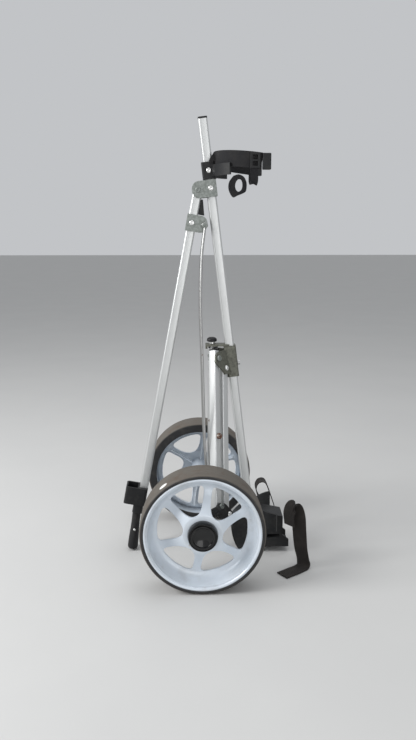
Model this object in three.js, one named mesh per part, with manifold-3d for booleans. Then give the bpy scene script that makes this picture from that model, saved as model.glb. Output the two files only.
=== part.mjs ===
// Folding two-wheel golf trolley, drawn in its folded, standing pose.
// Millimetres. X runs from the handle side to the bag side, Z is up, ground at Z = 0.
import * as THREE from 'three';
import { mergeVertices } from 'three/addons/utils/BufferGeometryUtils.js';
import Module from 'manifold-3d';

const wasm = await Module();
wasm.setup();

// ---------------------------------------------------------------- driving dimensions
const GAP = 0.3;
const DEG = Math.PI / 180;

const TYRE_R = 145;
const TYRE_WIDTH = 78;
const HALF_TRACK = 211;
const RIM_LIP_R = 135.5;
const RIM_BARREL_R = 127;
const RIM_WALL = 5;
const SPOKES = 6;
const SPOKE_WIDTH = 22;
const SPOKE_PHASE = 22 * DEG;
const DISH_THICKNESS = 7;
const HUB_R = 20;
const HUB_CAP_R = 34;
const AXLE_R = 6;

const MAIN_LEAN = 7.03 * DEG;
const MAIN_BASE_X = 139.7;
const MAIN_BOTTOM = 24;
const MAIN_TOP = 1089;
const TUBE_W = 22;
const TUBE_D = 24;
const TUBE_CORNER = 5;
const TUBE_WALL = 1.8;

const HINGE_HEIGHT = 929;
const EAR_OFFSET = 31.4;
const HINGE_CASTING_LENGTH = 59;
const DRAW_CASTING_LENGTH = 51;
const CASTING_HEIGHT = 40;
const CASTING_ROUND = 17;
const CHEEK = 4.5;
const CASTING_FACE = TUBE_D / 2 + GAP + CHEEK;
const RIVET_R = 2.6;
const RIVET_HEAD_R = 6;
const PIVOT_PIN_R = 4;

const HANDLE_FOLD = 17.76 * DEG;
const HANDLE_TUBE_LENGTH = 790;
const HANDLE_TOP_STUB = 14;
const DRAW_CASTING_AT = 78;
const CONSOLE_AT = 759;
const CONSOLE_SIZE = { x: 56, y: 46, z: 46 };
const CONSOLE_OFFSET = -17;
const CONSOLE_WALL = 4;
const SKIRT_LENGTH = 24;
const GRIP_LENGTH = 101;
const GRIP_OFFSET = -7;
const GRIP_TILT = 3.4 * DEG;
const GRIP_FLATNESS = 1.35;
const GRIP_NECK_R = 10.8;
const GRIP_SCREW_DOWN = 44;
const KNOB_X = 29;
const KNOB_STEM_R = 4;

const LEG_TOP = { x: 33, y: 29, z: 513 };
const LEG_SPLAY = 16 * DEG;
const LEG_LENGTH = 358;
const LEG_SWIVEL = 45 * DEG;
const REAR_TUBE = { b: 16, a: 22 };
const FRONT_TUBE = { b: 20, a: 14 };
const LEG_SPACING = 30.5;
const LEG_STEP = 22;
const REAR_STUB = 20;
const FRONT_STUB = 8;
const LEG_END = 12;
const LEG_WALL = 1.6;
const WING = 5;
const LEG_PIN_R = 4;

const ROD_R = 3;
const ROD_EYE_R = 7.5;
const ROD_EYE_THICK = 3.6;
const ROD_EYE_BORE = 5.2;
const ROD_PIN_R = 3;
const ROD_CLEARANCE = 6.2;
const ROD_Y = CASTING_FACE + ROD_CLEARANCE;
const ROD_FOOT_CLEARANCE = 9.5;

const BAG_R = 100;
const WEBBING = 36;
const UPPER_BRACKET_AT = 970;
const LEG_CASTING_AT = 500;
const LOWER_BRACKET_AT = 80;
const STRAP_THICK = 3;
const BOLT_R = 3;

// ---------------------------------------------------------------- finishes
const finish = (color, roughness, metalness) =>
  new THREE.MeshStandardMaterial({ color, roughness, metalness });
const ANODISED = finish(0xb9bcbb, 0.35, 0.9);
const CAST_GREY = finish(0x8b918b, 0.5, 0.8);
const CAST_OLIVE = finish(0x5f6157, 0.55, 0.7);
const BLACK_PLASTIC = finish(0x17181a, 0.5, 0);
const GLOSS_BLACK = finish(0x0b0b0d, 0.15, 0);
const RIM_SILVER = finish(0xc4ccd6, 0.4, 0.2);
const RUBBER = finish(0x4f4b45, 0.85, 0);
const STEEL = finish(0xc9c9c6, 0.3, 1);
const RUSTED = finish(0x6b4a35, 0.8, 0.5);
const WEBBING_BLACK = finish(0x1a1a1b, 0.9, 0);

// ---------------------------------------------------------------- solid helpers
const v = (x, y, z) => new THREE.Vector3(x, y, z);

/** A closed three.js geometry as a manifold solid. */
function solid(geometry) {
  const bare = geometry.clone();
  bare.deleteAttribute('normal');
  bare.deleteAttribute('uv');
  const welded = mergeVertices(bare, 1e-3);
  return new wasm.Manifold(new wasm.Mesh({
    numProp: 3,
    vertProperties: Float32Array.from(welded.attributes.position.array),
    triVerts: Uint32Array.from(welded.index.array),
  }));
}

/** A manifold solid as a three.js geometry. */
function geometryOf(body) {
  const mesh = body.getMesh();
  const geometry = new THREE.BufferGeometry();
  geometry.setAttribute('position', new THREE.BufferAttribute(Float32Array.from(mesh.vertProperties), 3));
  geometry.setIndex(new THREE.BufferAttribute(Uint32Array.from(mesh.triVerts), 1));
  geometry.computeVertexNormals();
  return geometry;
}

const join = (...geometries) => geometryOf(geometries.map(solid).reduce((sum, next) => sum.add(next)));
const cut = (base, ...tools) =>
  geometryOf(tools.map(solid).reduce((rest, tool) => rest.subtract(tool), solid(base)));
const hull = (...geometries) => geometryOf(wasm.Manifold.hull(geometries.map(solid)));

/** Move a geometry so that its own X and Z follow two given directions. */
function placed(geometry, origin, xAxis, zAxis) {
  const z = zAxis.clone().normalize();
  const x = xAxis.clone().addScaledVector(z, -xAxis.dot(z)).normalize();
  const basis = new THREE.Matrix4().makeBasis(x, z.clone().cross(x), z);
  return geometry.applyMatrix4(basis.setPosition(origin));
}

/** A cylinder between two points. */
function pin(from, to, radius, segments = 16) {
  const along = to.clone().sub(from);
  const body = new THREE.CylinderGeometry(radius, radius, along.length(), segments).rotateX(Math.PI / 2);
  const side = Math.abs(along.x) > Math.abs(along.z) ? v(0, 0, 1) : v(1, 0, 0);
  return placed(body, from.clone().add(to).multiplyScalar(0.5), side, along);
}

/** A box given by its corner values. */
function block(x0, x1, y0, y1, z0, z1) {
  const box = new THREE.BoxGeometry(x1 - x0, y1 - y0, z1 - z0);
  return box.translate((x0 + x1) / 2, (y0 + y1) / 2, (z0 + z1) / 2);
}

/** A rectangle with rounded corners, centred on the origin. */
function roundedRect(width, depth, radius, Kind = THREE.Shape) {
  const shape = new Kind();
  const w = width / 2 - radius;
  const d = depth / 2 - radius;
  shape.absarc(w, d, radius, 0, 90 * DEG);
  shape.absarc(-w, d, radius, 90 * DEG, 180 * DEG);
  shape.absarc(-w, -d, radius, 180 * DEG, 270 * DEG);
  shape.absarc(w, -d, radius, 270 * DEG, 360 * DEG);
  shape.closePath();
  return shape;
}

/** A straight solid of a shape, from Z = 0 upwards. */
const prism = (shape, depth, curveSegments = 4) =>
  new THREE.ExtrudeGeometry(shape, { depth, bevelEnabled: false, curveSegments });

/** A hollow square tube with rounded corners, from Z = 0 upwards. */
function squareTube(width, depth, corner, wall, length) {
  const shape = roundedRect(width, depth, corner);
  shape.holes.push(roundedRect(width - 2 * wall, depth - 2 * wall, corner - wall / 2, THREE.Path));
  return prism(shape, length, 2);
}

/** A turned solid about local Y; the profile is a list of radius, height pairs. */
const turned = (profile, segments) =>
  new THREE.LatheGeometry(profile.map(([r, h]) => new THREE.Vector2(r, h)), segments);

/** Turn a solid of revolution about Y into one about Z. */
const axisToZ = (geometry) => geometry.rotateX(Math.PI / 2);

/** A flat band that follows points; the width directions are given per point. */
function band(points, widths, width, thickness) {
  const positions = [];
  points.forEach((point, i) => {
    const before = points[Math.max(i - 1, 0)];
    const after = points[Math.min(i + 1, points.length - 1)];
    const along = after.clone().sub(before).normalize();
    const across = widths[i].clone().addScaledVector(along, -widths[i].dot(along)).normalize();
    const normal = along.clone().cross(across);
    for (const [w, n] of [[-1, -1], [1, -1], [1, 1], [-1, 1]]) {
      const corner = point.clone().addScaledVector(across, (w * width) / 2);
      positions.push(...corner.addScaledVector(normal, (n * thickness) / 2).toArray());
    }
  });
  const faces = [0, 2, 1, 0, 3, 2];
  for (let i = 0; i < points.length - 1; i += 1) {
    for (let k = 0; k < 4; k += 1) {
      const a = 4 * i + k;
      const b = 4 * i + ((k + 1) % 4);
      faces.push(a, b, b + 4, a, b + 4, a + 4);
    }
  }
  const last = 4 * (points.length - 1);
  faces.push(last, last + 1, last + 2, last, last + 2, last + 3);
  const geometry = new THREE.BufferGeometry();
  geometry.setAttribute('position', new THREE.BufferAttribute(new Float32Array(positions), 3));
  geometry.setIndex(faces);
  return geometry;
}

// ---------------------------------------------------------------- scene helpers
const trolley = new THREE.Group();

/** Add one named piece to a group. */
function piece(parent, name, geometry, material) {
  const mesh = new THREE.Mesh(geometry, material);
  mesh.name = name;
  parent.add(mesh);
  return mesh;
}

// ---------------------------------------------------------------- main tube and what is fixed to it
const mast = new THREE.Group();
mast.position.set(MAIN_BASE_X, 0, 0);
mast.rotation.y = -MAIN_LEAN;
trolley.add(mast);
mast.updateMatrixWorld(true);

/** A point given on the main tube: ahead of its axis, across, and up along it. */
const onMast = (ahead, across, up) => v(ahead, across, up).applyMatrix4(mast.matrixWorld);
const mastUp = v(0, 0, 1).transformDirection(mast.matrixWorld);
const mastAhead = v(1, 0, 0).transformDirection(mast.matrixWorld);

/** The room that a sleeve leaves around the main tube. */
const tubeEnvelope = (from, to) =>
  prism(roundedRect(TUBE_W + 2 * GAP, TUBE_D + 2 * GAP, TUBE_CORNER), to - from, 2).translate(0, 0, from);

function addMainTube() {
  const tube = squareTube(TUBE_W, TUBE_D, TUBE_CORNER, TUBE_WALL, MAIN_TOP - MAIN_BOTTOM);
  const holes = [HINGE_HEIGHT, UPPER_BRACKET_AT, LOWER_BRACKET_AT];
  const boltHole = pin(v(0, 0, LEG_CASTING_AT), v(TUBE_W, 0, LEG_CASTING_AT), BOLT_R + GAP, 10);
  piece(mast, 'main_tube', cut(drilled(tube.translate(0, 0, MAIN_BOTTOM), holes, RIVET_R), boltHole), ANODISED);
  const plug = prism(roundedRect(TUBE_W - 2 * TUBE_WALL - 2 * GAP, TUBE_D - 2 * TUBE_WALL - 2 * GAP, 4), 14, 2);
  const lid = prism(roundedRect(TUBE_W, TUBE_D, TUBE_CORNER), 4, 3);
  const cap = join(plug.translate(0, 0, MAIN_TOP - 13), lid.translate(0, 0, MAIN_TOP + GAP));
  piece(mast, 'main_tube_cap', cap, BLACK_PLASTIC);
}

// ---------------------------------------------------------------- the two hinge castings
/** A U-shaped casting: a web behind the tube, and two cheeks that reach out to an ear. */
function hingeCasting(pinRadius, length) {
  const back = TUBE_W / 2 + GAP + 2.5;
  const half = CASTING_HEIGHT / 2;
  const reach = length - back;
  const outline = new THREE.Shape();
  outline.moveTo(-back, -half);
  outline.lineTo(reach - CASTING_ROUND, -half);
  outline.absarc(reach - CASTING_ROUND, -half + CASTING_ROUND, CASTING_ROUND, -90 * DEG, 0);
  outline.absarc(reach - CASTING_ROUND, half - CASTING_ROUND, CASTING_ROUND, 0, 90 * DEG);
  outline.lineTo(-back, half);
  outline.closePath();
  const inner = TUBE_D / 2 + GAP;
  const whole = prism(outline, 2 * (inner + CHEEK), 4).translate(0, 0, -inner - CHEEK);
  const slot = block(-TUBE_W / 2 - GAP, length, -CASTING_HEIGHT, CASTING_HEIGHT, -inner, inner);
  const bore = (x, r) => new THREE.CylinderGeometry(r, r, 60, 12).rotateX(Math.PI / 2).translate(x, 0, 0);
  return cut(whole, slot, bore(0, RIVET_R + GAP), bore(EAR_OFFSET, pinRadius + GAP)).rotateX(Math.PI / 2);
}

/** A pin along Y with a flat head at both ends, outside faces that lie `reach` from the middle. */
function headedPin(radius, reach, headRadius, headHeight = 2.2) {
  const shaft = pin(v(0, -reach - 1, 0), v(0, reach + 1, 0), radius, 12);
  const head = (side) => pin(v(0, side * (reach + GAP), 0), v(0, side * (reach + headHeight), 0), headRadius, 14);
  return join(shaft, head(-1), head(1));
}

/** A tubular rivet: a pin with a hollow in each head. */
function rivet(reach) {
  const hollow = (side) => pin(v(0, side * (reach - 2), 0), v(0, side * (reach + 4), 0), 1.6, 8);
  return cut(headedPin(RIVET_R, reach, RIVET_HEAD_R), hollow(-1), hollow(1));
}

/** A tube with cross holes at given heights. */
const drilled = (tube, heights, radius) =>
  cut(tube, ...heights.map((z) => pin(v(0, -TUBE_D, z), v(0, TUBE_D, z), radius + GAP, 12)));

function addHandleHinge() {
  const casting = piece(mast, 'hinge_casting', hingeCasting(PIVOT_PIN_R, HINGE_CASTING_LENGTH), CAST_GREY);
  casting.position.z = HINGE_HEIGHT;
  casting.rotation.z = Math.PI;
  const fixing = piece(mast, 'hinge_rivet', rivet(CASTING_FACE), STEEL);
  fixing.position.z = HINGE_HEIGHT;
  const pivot = piece(mast, 'handle_pivot_pin', headedPin(PIVOT_PIN_R, CASTING_FACE, 6.5), CAST_GREY);
  pivot.position.set(-EAR_OFFSET, 0, HINGE_HEIGHT);
}

// ---------------------------------------------------------------- folding handle
const handle = new THREE.Group();
handle.position.set(-EAR_OFFSET, 0, HINGE_HEIGHT);
handle.rotation.y = HANDLE_FOLD;
mast.add(handle);
handle.updateMatrixWorld(true);

/** A grip section: wider at its end than at its neck. */
function gripBody() {
  const end = GRIP_NECK_R + 2.4;
  const profile = [[0, 0], [end - 2, 0], [end, 3], [end, 14], [end - 1, 40], [GRIP_NECK_R, 62],
    [GRIP_NECK_R, GRIP_LENGTH], [0, GRIP_LENGTH]];
  const flat = axisToZ(turned(profile, 20)).scale(1, GRIP_FLATNESS, 1);
  return flat.translate(0, 0, -GRIP_LENGTH).rotateY(-GRIP_TILT);
}

function addHandle() {
  const tube = squareTube(TUBE_W, TUBE_D - 2, TUBE_CORNER, TUBE_WALL, HANDLE_TUBE_LENGTH + HANDLE_TOP_STUB);
  const pivotHole = pin(v(0, -TUBE_D, 0), v(0, TUBE_D, 0), PIVOT_PIN_R + GAP, 16);
  const rivetHole = pin(v(0, -TUBE_D, -DRAW_CASTING_AT), v(0, TUBE_D, -DRAW_CASTING_AT), RIVET_R + GAP, 12);
  piece(handle, 'handle_tube', cut(tube.translate(0, 0, -HANDLE_TUBE_LENGTH), pivotHole, rivetHole), ANODISED);

  const drawCasting = hingeCasting(ROD_PIN_R, DRAW_CASTING_LENGTH);
  piece(handle, 'draw_casting', drawCasting, CAST_GREY).position.z = -DRAW_CASTING_AT;
  piece(handle, 'draw_rivet', rivet(CASTING_FACE), STEEL).position.z = -DRAW_CASTING_AT;
  const drawPin = piece(handle, 'draw_rod_pin', headedPin(ROD_PIN_R, ROD_Y + ROD_CLEARANCE, 6.5), CAST_GREY);
  drawPin.position.set(EAR_OFFSET, 0, -DRAW_CASTING_AT);

  const buffer = new THREE.Shape();
  const face = TUBE_W / 2 + GAP;
  buffer.moveTo(face, -20);
  buffer.lineTo(face + 5, -20);
  buffer.lineTo(face + 15, -56);
  buffer.lineTo(face, -56);
  buffer.closePath();
  const bufferBody = prism(buffer, 18).rotateX(Math.PI / 2).translate(0, 9, 0);
  piece(handle, 'handle_buffer', bufferBody, BLACK_PLASTIC);

  const box = CONSOLE_SIZE;
  const floor = -CONSOLE_AT - box.z;
  const shell = prism(roundedRect(box.x, box.y, 7), box.z).translate(CONSOLE_OFFSET, 0, floor);
  const skirt = prism(roundedRect(26, 34, 8), SKIRT_LENGTH + 2)
    .translate(GRIP_OFFSET + 1, 0, floor - SKIRT_LENGTH);
  const tubeSocket = prism(roundedRect(TUBE_W + 2 * GAP, TUBE_D - 2 + 2 * GAP, TUBE_CORNER), 80);
  const rear = CONSOLE_OFFSET - box.x / 2;
  const pocketEnd = -TUBE_W / 2 - GAP - CONSOLE_WALL;
  const pocketHalf = box.y / 2 - CONSOLE_WALL;
  const pocket = block(rear + CONSOLE_WALL, pocketEnd, -pocketHalf, pocketHalf, floor + CONSOLE_WALL, 10 - CONSOLE_AT);
  const console = cut(join(shell, skirt), tubeSocket.translate(0, 0, -HANDLE_TUBE_LENGTH - GAP), pocket);
  piece(handle, 'handle_console', console, BLACK_PLASTIC);

  const gripTop = floor - SKIRT_LENGTH - 1;
  piece(handle, 'handle_grip', gripBody().translate(GRIP_OFFSET, 0, gripTop), BLACK_PLASTIC);
  const screwX = GRIP_OFFSET + GRIP_SCREW_DOWN * Math.sin(GRIP_TILT);
  const screwY = -(GRIP_NECK_R + 1.6) * GRIP_FLATNESS - GAP;
  const screwZ = gripTop - GRIP_SCREW_DOWN;
  const screw = pin(v(screwX, screwY - 2, screwZ), v(screwX, screwY - 0.3, screwZ), 3, 14);
  piece(handle, 'grip_screw', screw, STEEL);
}

// ---------------------------------------------------------------- draw rods
/** A draw rod and its eye, bowed a little, from the ear pin down to the foot of a leg. */
function addDrawRod(name, side, ear, foot) {
  const bow = (share, ahead, inward = 0) => ear.clone().lerp(foot, share)
    .add(v(ahead, 0, 0)).addScaledVector(legAxis(side), -inward);
  const path = new THREE.CatmullRomCurve3([
    bow(0.008, 0), bow(0.12, -9), bow(0.3, -13), bow(0.5, -9, 2), bow(0.75, -2, 8), bow(0.9, 0, 5), bow(0.992, 0),
  ]);
  const section = new THREE.Shape();
  section.absarc(0, 0, ROD_R, 0, 360 * DEG);
  const along = { extrudePath: path, steps: 14, curveSegments: 4, bevelEnabled: false };
  const wire = new THREE.ExtrudeGeometry(section, along);
  const eye = (at, across) => [-0.5, 0.5].map((k) => at.clone().addScaledVector(across, k * ROD_EYE_THICK));
  const hole = (at, across) => [-3, 3].map((k) => at.clone().addScaledVector(across, k * ROD_EYE_THICK));
  const earAxis = v(0, 1, 0);
  const footAxis = legAxis(side);
  const body = join(wire, pin(...eye(ear, earAxis), ROD_EYE_R, 16), pin(...eye(foot, footAxis), ROD_EYE_R, 16));
  const bores = [pin(...hole(ear, earAxis), ROD_EYE_BORE, 12), pin(...hole(foot, footAxis), LEG_PIN_R + 1, 12)];
  const bored = cut(body, ...bores);
  piece(trolley, name, bored, STEEL);
}

// ---------------------------------------------------------------- leg directions, per side (-1 right, 1 left)
const legDown = (side) => v(0, side * Math.sin(LEG_SPLAY), -Math.cos(LEG_SPLAY));

/** The swivel axis of a leg, square to the leg and turned out from the trolley's side. */
function legAxis(side) {
  const out = v(Math.sin(LEG_SWIVEL), side * Math.cos(LEG_SWIVEL), 0);
  const down = legDown(side);
  return out.addScaledVector(down, -out.dot(down)).normalize();
}

/** The direction from the rear tube of a leg to its front tube. */
const legAcross = (side) => legAxis(side).cross(legDown(side)).multiplyScalar(-side);
const legTop = (side) => v(LEG_TOP.x, side * LEG_TOP.y, LEG_TOP.z);

/** The same solid with its faces turned over, after a mirror. */
function flipped(geometry) {
  const position = geometry.attributes.position;
  const point = (i) => new THREE.Vector3().fromBufferAttribute(position, i);
  for (let i = 0; i < position.count; i += 3) {
    const [b, c] = [point(i + 1), point(i + 2)];
    position.setXYZ(i + 1, ...c.toArray());
    position.setXYZ(i + 2, ...b.toArray());
  }
  return geometry;
}

/** Carry a solid drawn across X, down Y and out Z from the upper pivot into a leg's frame. */
function inLeg(side, geometry) {
  const frame = new THREE.Matrix4().makeBasis(legAcross(side), legDown(side), legAxis(side));
  frame.setPosition(legTop(side));
  const loose = geometry.index ? geometry.toNonIndexed() : geometry.clone();
  const moved = loose.applyMatrix4(frame);
  return frame.determinant() < 0 ? flipped(moved) : moved;
}

/** A point given in a leg's frame. */
const onLeg = (side, across, down, out) => legTop(side)
  .addScaledVector(legAcross(side), across)
  .addScaledVector(legDown(side), down)
  .addScaledVector(legAxis(side), out);

const FRONT_OUT = (REAR_TUBE.a - FRONT_TUBE.a) / 2;
const LEG_FACE = REAR_TUBE.a / 2;

/** A leg tube with a hole for each pivot, drawn in the leg frame. */
function legTube(section, across, out, stub, start) {
  const length = stub + LEG_LENGTH + LEG_END;
  const tube = squareTube(section.b, section.a, 3, LEG_WALL, length).rotateX(-Math.PI / 2);
  const hole = (down) => pin(v(0, down, -section.a), v(0, down, section.a), LEG_PIN_R + GAP, 10);
  return cut(tube.translate(0, -stub, 0), hole(0), hole(LEG_LENGTH)).translate(across, start, out);
}

/** A pivot pin through a leg tube, with a domed head outside. */
function legPin(across, down, inner, outer) {
  const at = (out) => v(across, down, out);
  const head = hull(pin(at(outer + GAP), at(outer + 2), 7, 12), pin(at(outer + 2), at(outer + 4), 4.5, 12));
  const tail = pin(at(inner - 3), at(inner - GAP), 6, 12);
  return join(pin(at(inner - 1), at(outer + 1), LEG_PIN_R, 10), head, tail);
}

const SIDES = [['right', -1], ['left', 1]];

// ---------------------------------------------------------------- leg casting on the main tube
const BLOCK_WALL = 4;
const SHELF_Z = 541;
const SHELF_THICK = 5;
const SHELF_REAR = 13;
const WING_OUTLINE = [[-11, 10], [-10, -5], [-4, -13], [8, -18], [46, -26], [62, 0], [58, 26], [36, 36], [26, 38]];
const UPPER_PINS = [[0, 0, -LEG_FACE], [LEG_SPACING, LEG_STEP, LEG_FACE - FRONT_TUBE.a]];

/** One oblique wing, drawn in the leg frame, with its two pivot holes. */
function wing() {
  const outline = new THREE.Shape(WING_OUTLINE.map(([across, down]) => new THREE.Vector2(across, down)));
  return prism(outline, WING).translate(0, 0, LEG_FACE + GAP);
}

function addLegCasting() {
  const low = LEG_CASTING_AT - 32;
  const high = LEG_CASTING_AT + 46;
  const depth = TUBE_D / 2 + GAP + BLOCK_WALL;
  const sleeve = prism(roundedRect(TUBE_W + 2 * BLOCK_WALL, 2 * depth, 5), high - low, 2).translate(0, 0, low);
  const shelf = block(SHELF_REAR, 72, -15, 15, SHELF_Z, SHELF_Z + SHELF_THICK);
  const lip = block(SHELF_REAR, SHELF_REAR + 5, -6, 6, SHELF_Z - 18, SHELF_Z + 1);
  const wings = SIDES.map(([, side]) => inLeg(side, wing()));
  const whole = join(sleeve.applyMatrix4(mast.matrixWorld), shelf, lip, ...wings);
  const legRoom = SIDES.map(([, side]) => inLeg(side, block(-30, 46, -27, 70, -34, LEG_FACE + GAP)));
  const bores = SIDES.flatMap(([, side]) => UPPER_PINS.map(([across, down]) =>
    inLeg(side, pin(v(across, down, 0), v(across, down, 40), LEG_PIN_R + GAP, 10))));
  const tubeRoom = tubeEnvelope(low - 40, high + 40).applyMatrix4(mast.matrixWorld);
  const boltRoom = pin(onMast(0, 0, LEG_CASTING_AT), onMast(40, 0, LEG_CASTING_AT), BOLT_R + GAP, 10);
  const knobRoom = pin(v(KNOB_X, 0, SHELF_Z - 9), v(KNOB_X, 0, SHELF_Z + 9), KNOB_STEM_R + GAP);
  piece(trolley, 'leg_casting', cut(whole, tubeRoom, ...legRoom, ...bores, boltRoom, knobRoom), CAST_OLIVE);

  const bolt = join(
    pin(onMast(TUBE_W / 2 - 5, 0, LEG_CASTING_AT), onMast(20, 0, LEG_CASTING_AT), BOLT_R, 10),
    pin(onMast(TUBE_W / 2 + BLOCK_WALL + GAP, 0, LEG_CASTING_AT), onMast(21, 0, LEG_CASTING_AT), 6.5, 6),
  );
  piece(trolley, 'leg_casting_bolt', bolt, STEEL);
}

/** The pull-up knob that locks the legs: a domed cap on a steel plunger. */
function addLockKnob() {
  const dome = axisToZ(turned([[0, 0], [11, 0], [12.5, 2], [12.5, 5], [10, 8.5], [5, 10.5], [0, 11]], 24));
  const capRoom = pin(v(0, 0, -1), v(0, 0, 6), KNOB_STEM_R + GAP, 16);
  const top = SHELF_Z + SHELF_THICK + 6;
  piece(trolley, 'lock_knob', cut(dome, capRoom), GLOSS_BLACK).position.set(KNOB_X, 0, top);
  const collar = pin(v(0, 0, -5.6), v(0, 0, -GAP), 8, 20);
  const stem = join(pin(v(0, 0, -20), v(0, 0, 5.6), KNOB_STEM_R, 16), collar);
  piece(trolley, 'lock_plunger', stem, STEEL).position.set(KNOB_X, 0, top);
}

// ---------------------------------------------------------------- legs, wheel brackets and wheels
const BRACKET_THICK = 9;
const BRACKET_IN = LEG_FACE + GAP;
const WHEEL_INNER = HALF_TRACK - TYRE_WIDTH / 2;
const AXLE_INNER = WHEEL_INNER - 18;

/** The black bracket that joins the feet of both leg tubes to the axle. */
function wheelBracket(side) {
  const foot = LEG_LENGTH;
  const disc = pin(v(5, foot + 13, BRACKET_IN), v(5, foot + 13, BRACKET_IN + BRACKET_THICK), 20, 20);
  const lobe = pin(v(LEG_SPACING, foot + LEG_STEP, BRACKET_IN),
    v(LEG_SPACING, foot + LEG_STEP, BRACKET_IN + BRACKET_THICK), 11, 12);
  const bores = [[0, foot], [LEG_SPACING, foot + LEG_STEP]].map(([across, down]) =>
    pin(v(across, down, 0), v(across, down, 60), LEG_PIN_R + GAP, 12));
  const boss = pin(v(0, side * (AXLE_INNER + 2), TYRE_R), v(0, side * (WHEEL_INNER - 2), TYRE_R), 15, 16);
  const elbow = new THREE.SphereGeometry(8, 8, 6).translate(-22, foot + 8, LEG_FACE + 11);
  const knuckle = inLeg(side, elbow);
  const armFoot = pin(v(3, foot + 12, BRACKET_IN + 1), v(3, foot + 12, BRACKET_IN + 8), 14, 12);
  const upperArm = hull(inLeg(side, armFoot), knuckle);
  const lowerArm = hull(knuckle, boss);
  const plate = inLeg(side, cut(hull(disc, lobe), ...bores));
  const legRoom = inLeg(side, block(-16, 46, foot - 40, foot + 40, -30, BRACKET_IN));
  const axleEnds = [v(0, side * (AXLE_INNER - 20), TYRE_R), v(0, side * (WHEEL_INNER + 20), TYRE_R)];
  const axleRoom = pin(...axleEnds, AXLE_R + GAP, 12);
  const legBores = bores.map((bore) => inLeg(side, bore));
  const headRoom = inLeg(side, pin(v(0, foot, BRACKET_IN + BRACKET_THICK), v(0, foot, 60), 8, 12));
  const nutRoom = pin(axleEnds[0], v(0, side * (AXLE_INNER + 2), TYRE_R), 12, 12);
  return cut(join(plate, upperArm, lowerArm), legRoom, axleRoom, headRoom, nutRoom, ...legBores);
}

function addLeg(name, side) {
  const add = (part, geometry, material) => piece(trolley, `${name}_${part}`, inLeg(side, geometry), material);
  const foot = LEG_LENGTH;
  const wingOut = LEG_FACE + GAP + WING;
  const bracketOut = BRACKET_IN + BRACKET_THICK;
  const frontInner = LEG_FACE - FRONT_TUBE.a;
  const boltBore = pin(v(2, 190, -20), v(2, 190, 20), 3 + GAP, 12);
  add('leg_rear_tube', cut(legTube(REAR_TUBE, 0, 0, REAR_STUB, 0), boltBore), ANODISED);
  add('leg_front_tube', legTube(FRONT_TUBE, LEG_SPACING, FRONT_OUT, FRONT_STUB, LEG_STEP), ANODISED);
  const lid = prism(roundedRect(REAR_TUBE.b, REAR_TUBE.a, 3), 3, 3).rotateX(-Math.PI / 2);
  const plug = prism(roundedRect(REAR_TUBE.b - 2 * LEG_WALL - 2 * GAP, REAR_TUBE.a - 2 * LEG_WALL - 2 * GAP, 1.5), 8, 2);
  const cap = join(lid.translate(0, -REAR_STUB - 3 - GAP, 0), plug.rotateX(-Math.PI / 2).translate(0, -REAR_STUB - 1, 0));
  add('leg_cap', cap, BLACK_PLASTIC);
  add('upper_rear_pin', legPin(0, 0, -LEG_FACE, wingOut), CAST_GREY);
  add('upper_front_pin', legPin(LEG_SPACING, LEG_STEP, frontInner, wingOut), CAST_GREY);
  add('lower_rear_pin', legPin(0, foot, -LEG_FACE, bracketOut), CAST_GREY);
  add('lower_front_pin', legPin(LEG_SPACING, foot + LEG_STEP, frontInner, bracketOut), STEEL);
  const bolt = join(
    pin(v(2, 190, LEG_FACE + GAP), v(2, 190, LEG_FACE + 6), 7.5, 6),
    pin(v(2, 190, -LEG_FACE - 3), v(2, 190, LEG_FACE + 2), 3, 12),
  );
  add('leg_bolt', bolt, RUSTED);
  piece(trolley, `${name}_wheel_bracket`, wheelBracket(side), BLACK_PLASTIC);
}

/** One opening between two spokes, as a rounded wedge in the wheel's plane. */
function spokeOpening() {
  const inner = 50;
  const outer = 110;
  const halfAt = (radius, width) => Math.PI / SPOKES - Math.asin(width / 2 / radius);
  const at = (radius, angle) => new THREE.Vector2(radius * Math.cos(angle), radius * Math.sin(angle));
  const outerHalf = halfAt(outer, SPOKE_WIDTH + 8);
  const midHalf = halfAt(92, SPOKE_WIDTH);
  const innerHalf = halfAt(inner + 6, SPOKE_WIDTH + 10);
  const shape = new THREE.Shape();
  shape.moveTo(...at(inner, 0).toArray());
  shape.quadraticCurveTo(...at(inner, -innerHalf).toArray(), ...at(inner + 14, -innerHalf).toArray());
  shape.lineTo(...at(92, -midHalf).toArray());
  shape.quadraticCurveTo(...at(outer, -outerHalf).toArray(), ...at(outer, -outerHalf * 0.6).toArray());
  shape.quadraticCurveTo(...at(outer + 3, 0).toArray(), ...at(outer, outerHalf * 0.6).toArray());
  shape.quadraticCurveTo(...at(outer, outerHalf).toArray(), ...at(92, midHalf).toArray());
  shape.lineTo(...at(inner + 14, innerHalf).toArray());
  shape.quadraticCurveTo(...at(inner, innerHalf).toArray(), ...at(inner, 0).toArray());
  return shape;
}

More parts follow.
